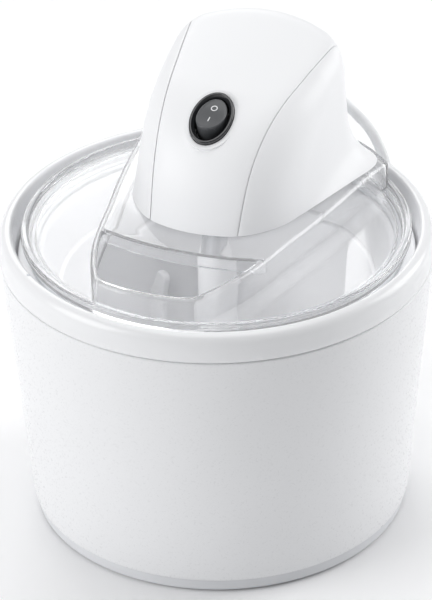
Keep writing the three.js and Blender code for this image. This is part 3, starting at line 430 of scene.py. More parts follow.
def catmull(points, per_span):
    """Centripetal Catmull-Rom curve through the points, as three.js draws it."""
    given = [Vector(p) for p in points]
    ends = [2 * given[0] - given[1], *given, 2 * given[-1] - given[-2]]
    curve = []
    for i in range(1, len(ends) - 2):
        p0, p1, p2, p3 = ends[i - 1:i + 3]
        t1 = math.sqrt((p1 - p0).length)
        t2 = t1 + math.sqrt((p2 - p1).length)
        t3 = t2 + math.sqrt((p3 - p2).length)
        for k in range(per_span):
            t = t1 + (t2 - t1) * k / per_span
            a1 = p0 * ((t1 - t) / t1) + p1 * (t / t1)
            a2 = p1 * ((t2 - t) / (t2 - t1)) + p2 * ((t - t1) / (t2 - t1))
            a3 = p2 * ((t3 - t) / (t3 - t2)) + p3 * ((t - t2) / (t3 - t2))
            b1 = a1 * ((t2 - t) / t2) + a2 * (t / t2)
            b2 = a2 * ((t3 - t) / (t3 - t1)) + a3 * ((t - t1) / (t3 - t1))
            curve.append(b1 * ((t2 - t) / (t2 - t1)) + b2 * ((t - t1) / (t2 - t1)))
    curve.append(given[-1])
    return curve


# ---------------- lead
CORD_R = 2.8
COIL_CENTRE = Vector((-14, 164))
COIL_OUTER = 34.9
COIL_CROSS = 60  # degrees over which a turn changes radius or layer
COIL_INNER = 29.2
LAYER_LOW = 4.0
LAYER_HIGH = 9.75
# The route's points repeat the CAD model's; the first is where the lead leaves the strain relief.
CORD_RUN = [
    (0, 107.6, 190), (0, 110.5, 189.5), (1.9, 117.8, 187.5), (5.9, 124.6, 183.6),
    (11.7, 129.2, 177.9), (19.5, 130.5, 171.4), (28.2, 128.1, 166.2), (37.7, 122.1, 162.9),
    (44.7, 116.7, 158.2), (49.9, 113.2, 150.9), (52.9, 111.7, 141.1), (53.2, 112, 120),
    (53.8, 112, 90), (54.3, 112, 60), (54.4, 111.9, 40.1), (55, 110.8, 28.1),
    (53.8, 112.9, 18.5), (50.9, 117.9, 10.8), (46.9, 124.8, 5.9), (42.3, 132.8, 4.1),
    (37.4, 141.3, 4.1), (32.3, 150, 4.1), (30, 155.7, 4.1), (29.2, 161.5, 4.1),
]
CORD_TAIL = [(-55.3, 159.5, 9.9), (-60, 151.5, 8.6), (-65.5, 144, 7.4), (-71, 137, 7)]


def ease(t):
    t = min(max(t, 0), 1)
    return t * t * (3 - 2 * t)


def coil_points():
    """The coil's turns: in along the floor, outer low, inner low, inner high, outer high, and out again."""
    start = Vector(CORD_RUN[-1][:2]) - COIL_CENTRE
    end = Vector(CORD_TAIL[0][:2]) - COIL_CENTRE
    first = math.degrees(math.atan2(start.y, start.x))
    last = math.degrees(math.atan2(end.y, end.x)) % 360 + 3 * 360
    changes = [
        (first, start.length, COIL_OUTER, CORD_RUN[-1][2], LAYER_LOW),
        (360, COIL_OUTER, COIL_INNER, LAYER_LOW, LAYER_LOW),
        (660, COIL_INNER, COIL_INNER, LAYER_LOW, LAYER_HIGH),
        (960, COIL_INNER, COIL_OUTER, LAYER_HIGH, LAYER_HIGH),
        (last - COIL_CROSS, COIL_OUTER, end.length, LAYER_HIGH, CORD_TAIL[0][2]),
    ]
    points = []
    steps = int((last - first) / 5)
    for k in range(1, steps):
        degrees = first + (last - first) * k / steps
        begin, r0, r1, z0, z1 = [c for c in changes if c[0] <= degrees][-1]
        t = ease((degrees - begin) / COIL_CROSS)
        a = math.radians(degrees)
        r = r0 + (r1 - r0) * t
        points.append((COIL_CENTRE.x + r * math.cos(a), COIL_CENTRE.y + r * math.sin(a), z0 + (z1 - z0) * t))
    return points


def make_cord():
    line = catmull([*CORD_RUN, *coil_points(), *CORD_TAIL], 4)
    data = bpy.data.curves.new("mains_cord", "CURVE")
    data.dimensions = "3D"
    data.bevel_depth = CORD_R * MM
    data.bevel_resolution = 5
    data.use_fill_caps = True
    spline = data.splines.new("POLY")
    spline.points.add(len(line) - 1)
    for point, p in zip(spline.points, line):
        point.co = (*(p * MM), 1)
    spline.use_smooth = True
    obj = bpy.data.objects.new("mains_cord", data)
    scene.collection.objects.link(obj)
    length = sum((b - a).length for a, b in zip(line, line[1:])) * MM
    return obj, line, length


mains_cord, cord_path, cord_length = make_cord()
finish_piece(mains_cord, "drive_unit", "cord_white", "cord", "cord_coil", "cord_tail")

# ---------------- plug and tie
PLUG_PLACE = Vector((-71.3, 136.6, 7.0))
PLUG_TURN = math.atan2(-7, -5.5)
PLUG_HALF_T = 6.8
PLUG_FRONT = 36
PLUG_EDGE = 35.2
GRIP_START, GRIP_END = 9, 24
GRIP_PITCH = 2.5
GRIP_DEPTH = 0.35
PIN_SPREAD = 9.2
PIN_LENGTH = 19
plug_frame = Matrix.Translation(PLUG_PLACE) @ Matrix.Rotation(PLUG_TURN, 4, "Z")


def make_plug():
    """Flat moulded plug: rounded levels that follow its half widths, with grip grooves across it."""
    widths = [
        (0, 4.2), (3, 5.2), (8, 6.6), (14, 7.8), (20, 9), (27, 11.2), (33, 13), (PLUG_EDGE, 13.4),
        (PLUG_FRONT, 12.6),
    ]
    at = [w[0] for w in widths]
    stations = sorted({*np.linspace(0, PLUG_FRONT, 49), *at})
    loops = []
    for x in stations:
        half_w = float(np.interp(x, at, [w[1] for w in widths]))
        half_t = min(PLUG_HALF_T, 4.0 + 0.35 * x)
        if GRIP_START < x < GRIP_END:
            dip = GRIP_DEPTH * (0.5 - 0.5 * math.cos(2 * math.pi * (x - GRIP_START) / GRIP_PITCH))
            half_w -= dip
            half_t -= dip
        if x > PLUG_EDGE:
            half_t -= 0.8
        section = rounded([
            (-half_w, -half_t, 3), (half_w, -half_t, 3), (half_w, half_t, 3), (-half_w, half_t, 3),
        ], 5)
        loops.append([(x, y, z) for y, z in section])
    body = place(new_object("mains_plug", *loft(loops)), plug_frame)
    finish_piece(body, "drive_unit", "plug_white", "plug_body")
    pieces = [body]
    for i, side in enumerate((1, -1)):
        outline = rounded([
            (0, 0, 0), (2, 0, 0.1), (2, PIN_LENGTH * 0.5, 0.05), (1.9, PIN_LENGTH * 0.52, 0.05),
            (1.9, PIN_LENGTH, 1.2), (0, PIN_LENGTH, 0),
        ])
        pin = turned(f"plug_prong_{i + 1}", outline, 32)
        root = Matrix.Translation((PLUG_FRONT + GAP, side * PIN_SPREAD, 0))
        place(pin, plug_frame @ (root @ Matrix.Rotation(math.pi / 2, 4, "Y")))
        finish_piece(pin, "drive_unit", "pin_brass", f"plug_pin_{i + 1}")
        pieces.append(pin)
    return pieces


def make_tie():
    """A strap round the coil's section."""
    x = COIL_CENTRE.x
    y0, y1 = low("cord_tie").y, high("cord_tie").y
    z0, z1 = low("cord_tie").z, high("cord_tie").z
    width, thick = 7.0, 0.8
    loops = []
    outer = rounded([(y0, z0, 2.2), (y1, z0, 2.2), (y1, z1, 2.2), (y0, z1, 2.2)], 6)
    inner = rounded([
        (y0 + thick, z0 + thick, 1.5), (y1 - thick, z0 + thick, 1.5), (y1 - thick, z1 - thick, 1.5),
        (y0 + thick, z1 - thick, 1.5),
    ], 6)
    for (ay, az), (by, bz) in zip(outer, inner):
        section = []
        for side, across in ((-1, 0), (-0.86, 1), (0.86, 1), (1, 0)):
            y = ay + (by - ay) * 0.25 * (1 - across)
            z = az + (bz - az) * 0.25 * (1 - across)
            section.append((x + side * width / 2, y, z))
        section.append((x + width / 2, by, bz))
        section.append((x - width / 2, by, bz))
        loops.append(section)
    strap = new_object("cord_strap", *loft(loops, closed_path=True))
    finish_piece(strap, "drive_unit", "tie_black", "cord_tie")
    return strap


plug_pieces = make_plug()
cord_strap = make_tie()

# ---------------- tub
RIM_TOP = high("rim_ring").z
RIM_R = high("rim_ring").x
SEAM_Z = high("outer_housing").z + GAP
SEAM_R = high("outer_housing").x
FOOT_TOP = low("outer_housing").z
FOOT_R = high("base_cover").x
FOOT_H = high("base_cover").z
BODY_R = FOOT_R + 2
WALL = 2.6
SHOULDER = (102.5, 40)
LEDGE_TOP = high("inner_sleeve").z + GAP + 3
LEDGE_R = high("inner_sleeve").x - 2.4
RIM_IN = RIM_R - 7.7
# Place and size of the grey rim dot, whose colour is painted shade of a shallow dimple.
DOT_ANGLE = math.radians(230)
DOT_RING_R = 106.6
DOT_R = 1.0


def curve2(points, per_span=5):
    return [(p.x, p.y) for p in catmull([(x, y, 0) for x, y in points], per_span)]


def make_tub():
    top = SEAM_Z - GAP
    slope = (SEAM_R - SHOULDER[0]) / (top - SHOULDER[1])
    outside = curve2([
        (BODY_R - 1.6, FOOT_TOP), (BODY_R - 0.5, FOOT_TOP + 0.5), (BODY_R, FOOT_TOP + 2),
        (BODY_R + 0.9, FOOT_TOP + 12), SHOULDER, (SHOULDER[0] + slope * 30, SHOULDER[1] + 30),
    ])
    edge = [
        (SEAM_R - slope * 0.9, top - 0.9), (SEAM_R - 0.16, top - 0.42), (SEAM_R - 0.5, top - 0.1),
        (SEAM_R - 0.9, top),
    ]
    inside = [
        (SEAM_R - WALL, top), (SHOULDER[0] - WALL, SHOULDER[1]), (BODY_R - WALL, FOOT_TOP + 6),
        (BODY_R - WALL - 0.4, FOOT_TOP + 2.2), (62, FOOT_TOP + 2.2), (62, FOOT_TOP),
    ]
    wall = turned("tub_wall", [*outside, *edge, *inside], 192)
    finish_piece(wall, "housing", "housing_white", "outer_housing")

    outside = curve2([
        (SEAM_R - 0.5, SEAM_Z + GAP), (SEAM_R - 0.1, SEAM_Z + GAP + 0.35), (RIM_R - 0.05, SEAM_Z + 3.5),
        (RIM_R - 0.3, RIM_TOP - 6.5), (RIM_R - 1.2, RIM_TOP - 3.1), (RIM_R - 2.9, RIM_TOP - 0.95),
        (RIM_R - 5.2, RIM_TOP - 0.05), (RIM_IN + 1, RIM_TOP - 0.25), (RIM_IN + 0.1, RIM_TOP - 1.5),
    ], 6)
    tongue = SEAM_R - 1.1 - WALL - GAP
    inside = [
        (RIM_IN - 1.2, LEDGE_TOP + 1), (RIM_IN - 1.8, LEDGE_TOP), (LEDGE_R + 0.6, LEDGE_TOP),
        (LEDGE_R, LEDGE_TOP - 0.6), (LEDGE_R, LEDGE_TOP - 3), (tongue - 2.2, LEDGE_TOP - 3),
        (tongue - 2.2, SEAM_Z - 12), (tongue, SEAM_Z - 12), (tongue, SEAM_Z + GAP),
    ]
    rim = turned("tub_rim", [*outside, *inside], 192)
    finish_piece(rim, "housing", "rim_white", "rim_ring")

    sleeve_r = high("inner_sleeve").x
    floor, top = low("inner_sleeve").z, high("inner_sleeve").z
    sleeve = turned("tub_sleeve", rounded([
        (0, floor, 0), (sleeve_r, floor, 5), (sleeve_r, top, 0.4), (sleeve_r - 2, top, 0.4),
        (sleeve_r - 2, floor + 2, 3.5), (0, floor + 2, 0),
    ]), 128)
    finish_piece(sleeve, "housing", "inner_grey", "inner_sleeve")


def make_base():
    plate = FOOT_H - 2.4
    under = low("base_cover").z
    base = turned("tub_base", rounded([
        (0, plate, 0), (FOOT_R - 19, plate, 1), (FOOT_R - 18, under, 0.6), (FOOT_R, under, 1.6),
        (FOOT_R, FOOT_H, 0.5), (0, FOOT_H, 0),
    ]), 192)
    tools = []
    for i in range(4):
        pad, screw = f"foot_pad_{i + 1}", f"base_screw_{i + 1}"
        for node, radius, ceiling in ((pad, 7.3, 3.9), (screw, 3.7, plate), (screw, 1.9, FOOT_H + 1)):
            centre = (low(node) + high(node)) / 2
            tools.append(post(-1, ceiling, radius, radius, 32, centre.x, centre.y))
    combine(base, tools, "DIFFERENCE")
    finish_piece(base, "housing", "base_grey", "base_cover")


def make_rim_shade_dot():
    """Small grey dot on the rim: its darker grey is painted shade that stands in for a shallow dimple."""
    profile = rounded([(0, -0.4, 0), (DOT_R, -0.4, 0.05), (DOT_R, 0.25, 0.2), (0, 0.32, 0)])
    shade_dot = turned("rim_shade_dot", profile, 24)
    x, y = DOT_RING_R * math.cos(DOT_ANGLE), DOT_RING_R * math.sin(DOT_ANGLE)
    place(shade_dot, Matrix.Translation((x, y, RIM_TOP - 0.1)))
    # The darker grey slot is painted shade, not a printed or moulded mark.
    finish_piece(shade_dot, "housing", "inner_grey")


make_tub()
make_base()
make_rim_shade_dot()

# ---------------- freezer bowl
COLLAR_TOP = high("bowl_collar").z
COLLAR_FOOT = low("bowl_collar").z
LINER_TOP = high("bowl_liner").z
LINER_FLOOR = low("bowl_liner").z
LINER_R = 80
LINER_LOW_R = 74
LINER_T = 1.5
LINER_DEPTH = 99.5
COLLAR_IN = 82.3


def make_bowl():
    flange = COLLAR_TOP - 6.1
    shell_top = high("bowl_outer_shell").z
    neck = high("bowl_outer_shell").x + 2.2
    outer_r = high("bowl_collar").x
    collar = turned("bowl_rim", [
        *curve2([
            (COLLAR_IN - 0.2, COLLAR_FOOT + 0.5), (COLLAR_IN + 0.5, COLLAR_FOOT + 3.5),
            (COLLAR_IN + 2.6, COLLAR_FOOT + 9), (COLLAR_IN + 5.2, COLLAR_TOP - 5),
            (COLLAR_IN + 6.8, COLLAR_TOP - 1.6), (COLLAR_IN + 8.6, COLLAR_TOP - 0.15),
        ]),
        *rounded([
            (COLLAR_IN + 9.6, COLLAR_TOP, 0), (outer_r, COLLAR_TOP, 1), (outer_r, flange, 0.5),
            (neck, flange, 0.5), (neck, shell_top + GAP, 0.5), (COLLAR_IN + 5.6, shell_top + GAP, 0.3),
            (COLLAR_IN + 3.7, COLLAR_FOOT + 4, 0.5), (LINER_R + 4.8, COLLAR_FOOT, 0.3),
            (COLLAR_IN + 0.2, COLLAR_FOOT, 0.2),
        ]),
    ], 192)
    finish_piece(collar, "bowl", "collar_white", "bowl_collar")

    inside_floor = LINER_FLOOR + LINER_T
    inner = rounded([
        (0, LINER_FLOOR, 0), (LINER_LOW_R + LINER_T, LINER_FLOOR, 9.5),
        (LINER_R + LINER_T, LINER_TOP - LINER_T, 0.6), (LINER_R + 4.5, LINER_TOP - LINER_T, 0.3),
        (LINER_R + 4.5, LINER_TOP, 0.4), (LINER_R, LINER_TOP, 1.2), (LINER_LOW_R, inside_floor, 8),
        (8, inside_floor, 1.5), (5, inside_floor + 12, 1.2), (0, inside_floor + 12, 0),
    ], 7)
    liner = turned("bowl_inside", inner, 160)
    finish_piece(liner, "bowl", "liner_grey", "bowl_liner")

    bottom = low("bowl_outer_shell").z
    top_r = high("bowl_outer_shell").x
    low_r = top_r - 5
    shell = turned("bowl_shell", rounded([
        (5, bottom, 0.3), (low_r, bottom, 6), (top_r, shell_top, 0.4), (top_r - 2.2, shell_top, 0.4),
        (low_r - 2.2, bottom + 2.2, 4.5), (5, bottom + 2.2, 0.3),
    ]), 128)
    finish_piece(shell, "bowl", "bowl_white", "bowl_outer_shell")


make_bowl()

# ---------------- lid
LID_R = high("lid").x
LID_SKIRT_LOW = low("lid").z
PLATFORM_TOP = high("lid").z
LID_TOP = RIM_TOP + 0.3
LID_FLOOR = LID_TOP - 2.5
LID_T = 2.5
SKIRT_R = LID_R - 5.1
PLATFORM_R = 98.2
PLATFORM_WALL = 2.2
CHUTE_LIP = 1.2
CHUTE_BACK_Y = -52.5
CHUTE_BOW = 22
CHUTE_BOW_HALF = 60
SPIGOT_R = 24
CURTAIN_T = 1.8
CURTAIN_H = 6


def platform_outline():
    """The platform's outline: straight-ish sides that narrow to the front, and ends on the lid's edge."""
    side = [(67.5, 66), (63.5, 45), (60, 22), (56, 0), (51.5, -20), (46.5, -45), (41.8, -63), (35, -80)]
    right = curve2(side, 8)
    back = math.atan2(side[0][0], side[0][1])
    front = math.asin(28 / PLATFORM_R)
    loop = [*right]
    for k in range(21):
        a = front - 2 * front * k / 20
        loop.append((PLATFORM_R * math.sin(a), -PLATFORM_R * math.cos(a)))
    loop += [(-x, y) for x, y in reversed(right)]
    for k in range(41):
        a = -back + 2 * back * k / 40
        loop.append((PLATFORM_R * math.sin(a), PLATFORM_R * math.cos(a)))
    return counter_clockwise(softened(loop, 1.2, 3.0))


def chute_back(x):
    """The chute mouth's back edge: the y of a shallow elliptic arc."""
    return CHUTE_BACK_Y + CHUTE_BOW - CHUTE_BOW * math.sqrt(max(0.0, 1 - (x / CHUTE_BOW_HALF) ** 2))


def chute_outline(border):
    """The chute mouth: the platform's front part, inside the border, cut off behind by a shallow arc."""
    loop = inset(platform_outline(), border)
    front = [(x, y) for x, y in loop if y < chute_back(x)]
    turn = max(range(len(front)), key=lambda i: math.dist(front[i], front[(i + 1) % len(front)]))
    front = front[turn + 1:] + front[:turn + 1]
    (x0, _), (x1, _) = front[-1], front[0]
    across = [x0 + (x1 - x0) * t / 30 for t in range(1, 30)]
    behind = [(x, chute_back(x)) for x in across]
    return counter_clockwise(softened([*front, *behind], 1.2, 2.2))


def chute_curtain(room, ceiling):
    """A wall that hangs from the platform's ceiling along the back of the chute mouth."""
    reach_x = max(x for x, y in room if abs(y - CHUTE_BACK_Y) < 4) + 0.6
    across = [reach_x * (k / 16 - 1) for k in range(33)]
    front = [(x, chute_back(x) + 0.15) for x in across]
    behind = [(x, chute_back(x) + 0.15 + CURTAIN_T) for x in reversed(across)]
    outline = [*front, *behind]
    return stack("tool", [
        (inset(outline, 0.5), ceiling - CURTAIN_H), (outline, ceiling - CURTAIN_H + 0.6),
        (outline, ceiling + 0.4),
    ])


def make_lid():
    bead = 3.6
    under = LID_FLOOR - LID_T
    plate = turned("lid_clear", rounded([
        (0, under, 0), (SKIRT_R - 2.2, under, 1.2), (SKIRT_R - 2.2, LID_SKIRT_LOW, 0.6),
        (SKIRT_R, LID_SKIRT_LOW, 0.6), (SKIRT_R, under, 0.6), (LID_R, under, 0.8),
        (LID_R, LID_TOP, 1.6), (LID_R - bead, LID_TOP, 1.3), (LID_R - bead, LID_FLOOR, 1.0),
        (0, LID_FLOOR, 0),
    ], 6), 192)
    outline = platform_outline()
    rounding, steps = 2.4, 6
    levels = [(outline, under)]
    for k in range(steps + 1):
        a = (math.pi / 2) * k / steps
        height = PLATFORM_TOP - rounding + rounding * math.sin(a)
        levels.append((inset(outline, rounding * (1 - math.cos(a))), height))
    combine(plate, [stack("tool", levels)], "UNION")

    room = inset(outline, PLATFORM_WALL)
    ceiling = PLATFORM_TOP - PLATFORM_WALL
    hollow = []
    for k in range(5):
        a = (math.pi / 2) * (1 - k / 4)
        hollow.append((inset(room, 1.4 * (1 - math.cos(a))), ceiling - 1.4 + 1.4 * math.sin(a)))
    hollow.append((room, LID_FLOOR + 0.2))
    reach_r = SKIRT_R - 2.2 - 0.4
    shares = [min(1, reach_r / math.hypot(x, y)) for x, y in room]
    low_part = [(x * share, y * share) for (x, y), share in zip(room, shares)]
    hollow.append((low_part, LID_FLOOR - 0.1))
    hollow.append((low_part, under - 2))
    tools = [stack("tool", hollow)]

    lip = PLATFORM_WALL + CHUTE_LIP
    mouth = chute_outline(lip)
    edge = 0.9
    cutter = [(inset(mouth, -edge - 0.01), PLATFORM_TOP + 1)]
    for k in range(5):
        a = (math.pi / 2) * k / 4
        height = PLATFORM_TOP - edge * (1 - math.cos(a)) + 0.001
        cutter.append((inset(mouth, -edge * (1 - math.sin(a))), height))
    cutter.append((mouth, ceiling - 1))
    tools.append(stack("tool", cutter))
    tools.append(post(LID_FLOOR, PLATFORM_TOP + 1, SPIGOT_R + 0.5, SPIGOT_R + 0.5, 96))
    combine(plate, tools, "DIFFERENCE")
    combine(plate, [chute_curtain(room, ceiling)], "UNION")
    finish_piece(plate, "lid", "lid_clear", "lid")

    seal_low, seal_high = low("lid_seal").z, high("lid_seal").z
    seal = turned("lid_gasket", rounded([
        (SKIRT_R - 3.8, seal_low, 0.7), (SKIRT_R + 1.6, seal_low, 0.7), (SKIRT_R + 1.6, seal_high, 0.7),
        (SKIRT_R - 3.8, seal_high, 0.7),
    ], 4), 160)
    finish_piece(seal, "lid_seat", "seal_silicone", "lid_seal")


make_lid()

# ---------------- paddle
PADDLE_TURN = math.radians(-38)
COLUMN_R = 10
PADDLE_TOP = high("paddle").z
PADDLE_FOOT = low("paddle").z
SOCKET_Z = PADDLE_TOP - 20
BLADE_CLEARANCE = 3.4
HEX_ACROSS_FLATS = 8.4


def bevelled_prism(name, outline, z0, z1, width, segments=3):
    obj = prism(name, outline, z0, z1)
    shape = bmesh.new()
    shape.from_mesh(obj.data)
    sharp = [e for e in shape.edges if len(e.link_faces) == 2 and e.calc_face_angle() > math.radians(60)]
    bmesh.ops.bevel(shape, geom=sharp, offset=width * MM, segments=segments, affect="EDGES", profile=0.5)
    shape.to_mesh(obj.data)
    shape.free()
    tidy_mesh(obj)
    return obj


def make_paddle():
    foot = PADDLE_FOOT + 2
    spread = (LINER_R - LINER_LOW_R) * (foot + 6 - LINER_FLOOR) / LINER_DEPTH
    blade_r = LINER_LOW_R + spread - BLADE_CLEARANCE
    column = turned("dasher", rounded([
        (0, PADDLE_FOOT + 13, 0), (6, PADDLE_FOOT + 13, 0.5), (8.7, PADDLE_FOOT, 0.3),
        (COLUMN_R, PADDLE_FOOT, 0.5), (COLUMN_R, SOCKET_Z - 4, 2.5), (COLUMN_R - 3, SOCKET_Z - 0.3, 0.6),
        (0, SOCKET_Z - 0.3, 0),
    ]), 64)
    parts = []
    for side in (1, -1):
        corners = [
            (2, foot, 0), (blade_r - 5, foot, 8), (blade_r, foot + 10, 6), (blade_r, foot + 53, 4),
            (blade_r - 9, foot + 70, 3), (blade_r - 17, foot + 70, 3), (blade_r - 12, foot + 50, 10),
            (blade_r - 14, foot + 16, 9), (26, foot + 15, 10), (COLUMN_R + 1, foot + 34, 3),
            (2, foot + 34, 0),
        ]
        outline = rounded([(side * x, y, r) for x, y, r in corners], 6)
        blade = bevelled_prism("tool", outline, -2, 2, 0.9)
        parts.append(place(blade, Matrix.Rotation(math.pi / 2, 4, "X")))
    radius = HEX_ACROSS_FLATS / math.sqrt(3)
    stub = [(radius * math.cos(math.pi * k / 3), radius * math.sin(math.pi * k / 3)) for k in range(6)]
    parts.append(bevelled_prism("tool", stub, SOCKET_Z - 1, PADDLE_TOP, 0.4, 2))
    combine(column, parts, "UNION")
    place(column, Matrix.Rotation(PADDLE_TURN, 4, "Z"))
    finish_piece(column, "paddle", "paddle_frost", "paddle")


make_paddle()

# ---------------- motor unit surface
HOOD_Z = low("middle_cover").z
HOOD_NOSE = 34.8
HOOD_LEAN = 0.31
HOOD_H = 71
HOOD_SLOPE = 0.235
HOOD_HALF = 43.6
HOOD_BACK_R = 83.5
HOOD_FLARE = 11
HOOD_WALL = 2.2
STRIP_HALF = 28.8
STRIP_SPREAD = 0.165
CORE_Y = 30
EDGE_R = 0.5


def blend_min(a, b, k):
    h = np.maximum(k - np.abs(a - b), 0) / k
    return np.minimum(a, b) - h * h * k / 4


def hood_depth(x, y, z):
    """About the depth below the motor unit's surface: a blend of its front, top, flanks and back."""
    across = np.abs(x)
    h = z - HOOD_Z
    flare = np.exp(-np.maximum(h, 0) / 9)
    front = (y + HOOD_NOSE - across ** 2 / 124 - HOOD_LEAN * h) / math.hypot(1, HOOD_LEAN)
    top = (HOOD_H - 17.5 + HOOD_SLOPE * y - across ** 2 / 520 - h) / math.hypot(1, HOOD_SLOPE)
    lean = 0.0019 * np.maximum(h - 29, 0) ** 2
    spread = (0.2 + 0.0205 * np.maximum(y, 0)) * HOOD_FLARE * flare
    flank = HOOD_HALF + 0.07 * y - lean + spread - across
    back = HOOD_BACK_R + HOOD_FLARE * flare - np.hypot(x, y)
    side_round = np.clip(26 - (y + 20) * 0.2, 13, 26)
    return blend_min(blend_min(blend_min(front, top, 31), flank, side_round), back, 10)


def solve(point_at, depth, far=160.0):
    """Distances at which rays reach a depth, by halving; point_at gives x, y, z for an array of distances."""
    near = np.zeros_like(depth)
    away = np.full_like(depth, far)
    for _ in range(40):
        middle = (near + away) / 2
        inside = hood_depth(*point_at(middle)) > depth
        near = np.where(inside, middle, near)
        away = np.where(inside, away, middle)
    return near


def strip_points(share, alpha, edge, depth):
    """Points in the half-plane at alpha about X, at a share of the strip's half width less an edge."""
    def at(t):
        y = CORE_Y - t * np.cos(alpha)
        half = STRIP_HALF + STRIP_SPREAD * y - edge
        return share * half, y, HOOD_Z + t * np.sin(alpha)
    return np.stack(at(solve(at, depth)), axis=-1)


def flank_points(alpha, w, depth):
    """Points in the half-plane at alpha, at an angle w towards the +X pole."""
    def at(t):
        y = CORE_Y - t * np.cos(w) * np.cos(alpha)
        return t * np.sin(w), y, HOOD_Z + t * np.cos(w) * np.sin(alpha)
    return np.stack(at(solve(at, depth)), axis=-1)


ARC_ROWS = 132
POLE_STEPS = 44
EDGE_TURNS = [math.radians(d) for d in (22.5, 45, 67.5, 90)]
EDGE_STEPS = [(EDGE_R * (1 - math.sin(a)), EDGE_R * (1 - math.cos(a))) for a in EDGE_TURNS]


def middle_cover_mesh():
    alphas = np.linspace(0, math.pi, ARC_ROWS + 1)
    shares = np.linspace(-1, 1, 41)
    outer = [(share, EDGE_R, 0.0) for share in shares]
    left = [(-1, e, d) for e, d in reversed(EDGE_STEPS)]
    right = [(1, e, d) for e, d in EDGE_STEPS]
    inner = [(share, 0.0 if abs(share) == 1 else EDGE_R, HOOD_WALL) for share in shares[::-1]]
    columns = [*left, *outer, *right, *inner]
    share, edge, depth = (np.array(c)[None, :] * np.ones((ARC_ROWS + 1, 1)) for c in zip(*columns))
    grid = strip_points(share, alphas[:, None] * np.ones_like(share), edge + GAP / 2, depth)
    loops = [[tuple(p) for p in row] for row in grid]
    return loft(loops)


def side_cover_mesh(sign):
    alphas = np.linspace(0, math.pi, ARC_ROWS + 1)
    ones = np.ones_like(alphas)

    def seam_row(edge, depth):
        return strip_points(ones, alphas, -(GAP / 2 + edge) * ones, depth * ones)

    def sweep(start, depth):
        """Rows from a seam row round to the cover's pole."""
        first = np.arctan2(start[:, 0], np.hypot(start[:, 1] - CORE_Y, start[:, 2] - HOOD_Z))
        rows = [start]
        for k in range(1, POLE_STEPS):
            t = (k / POLE_STEPS) ** 1.15
            rows.append(flank_points(alphas, first + (math.pi / 2 - first) * t, depth * ones))
        return rows

    def pole(depth):
        return tuple(flank_points(np.array([0.0]), np.array([math.pi / 2]), np.array([depth]))[0])

    rounding = [seam_row(edge, depth) for edge, depth in reversed(EDGE_STEPS)]
    rows = [*rounding, *sweep(seam_row(EDGE_R, 0.0), 0.0)]
    inner = sweep(strip_points(ones, alphas, -GAP / 2 * ones, HOOD_WALL * ones), HOOD_WALL)

    columns = [*inner[::-1], *rows]
    count = ARC_ROWS + 1
    points = [tuple(p) for column in columns for p in column]
    faces = []
    for j in range(len(columns) - 1):
        for i in range(ARC_ROWS):
            a, b = j * count + i, (j + 1) * count + i
            faces.append((a, a + 1, b + 1, b))
    pole_in_index, pole_out_index = len(points), len(points) + 1
    points += [pole(HOOD_WALL), pole(0.0)]
    last = (len(columns) - 1) * count
    for i in range(ARC_ROWS):
        faces.append((i + 1, i, pole_in_index))
        faces.append((last + i, last + i + 1, pole_out_index))
    for i in (0, ARC_ROWS):
        rim = [j * count + i for j in range(len(columns))]
        faces.append((pole_in_index, *rim, pole_out_index))
    return [(sign * x, y, z) for x, y, z in points], faces


# ---------------- switch frame
SWITCH_Y = -3.5
SWITCH_A = 11.2
SWITCH_B = 15.3
SWITCH_SEAT = 2.3
OPEN_A = SWITCH_A * 0.72
OPEN_B = SWITCH_B * 0.8
ROCKER_PIVOT = 3.0
ROCKER_SWEEP = 11.7
ROCKER_TILT = math.radians(13)
MARK_O_Y = 4.2
MARK_I_Y = -3.6


def surface_height(y):
    ones = np.ones(1)
    return float(HOOD_Z + solve(lambda t: (0 * t, y + 0 * t, HOOD_Z + t), 0.0 * ones)[0])


SWITCH_SLOPE = math.atan2(surface_height(SWITCH_Y + 4) - surface_height(SWITCH_Y - 4), 8)
switch_place = Matrix.Translation((0, SWITCH_Y, surface_height(SWITCH_Y)))
switch_frame = switch_place @ Matrix.Rotation(SWITCH_SLOPE, 4, "X")
lead_axis = Matrix.Translation((0, 0, CORD_RUN[0][2])) @ Matrix.Rotation(-math.pi / 2, 4, "X")


def make_covers():
    middle = new_object("hood_middle", *middle_cover_mesh())
    pad = place(post(-SWITCH_SEAT - 2, -1.2, SWITCH_A + 2.6, SWITCH_B + 2.6, 64), switch_frame)
    combine(middle, [pad], "UNION")
    neck = high("strain_relief").z - CORD_RUN[0][2] - 1.3
    combine(middle, [
        place(post(-SWITCH_SEAT, 30, SWITCH_A + 0.25, SWITCH_B + 0.25, 96), switch_frame),
        place(post(-30, 5, OPEN_A + 1.6, OPEN_B + 1.6, 64), switch_frame),
        place(post(60, 120, neck, neck, 48), lead_axis),
    ], "DIFFERENCE")
    finish_piece(middle, "drive_unit", "cover_white", "middle_cover")
    for sign, side in ((1, "right"), (-1, "left")):
        cover = new_object(f"hood_{side}", *side_cover_mesh(sign))
        finish_piece(cover, "drive_unit", "side_white", f"{side}_cover")


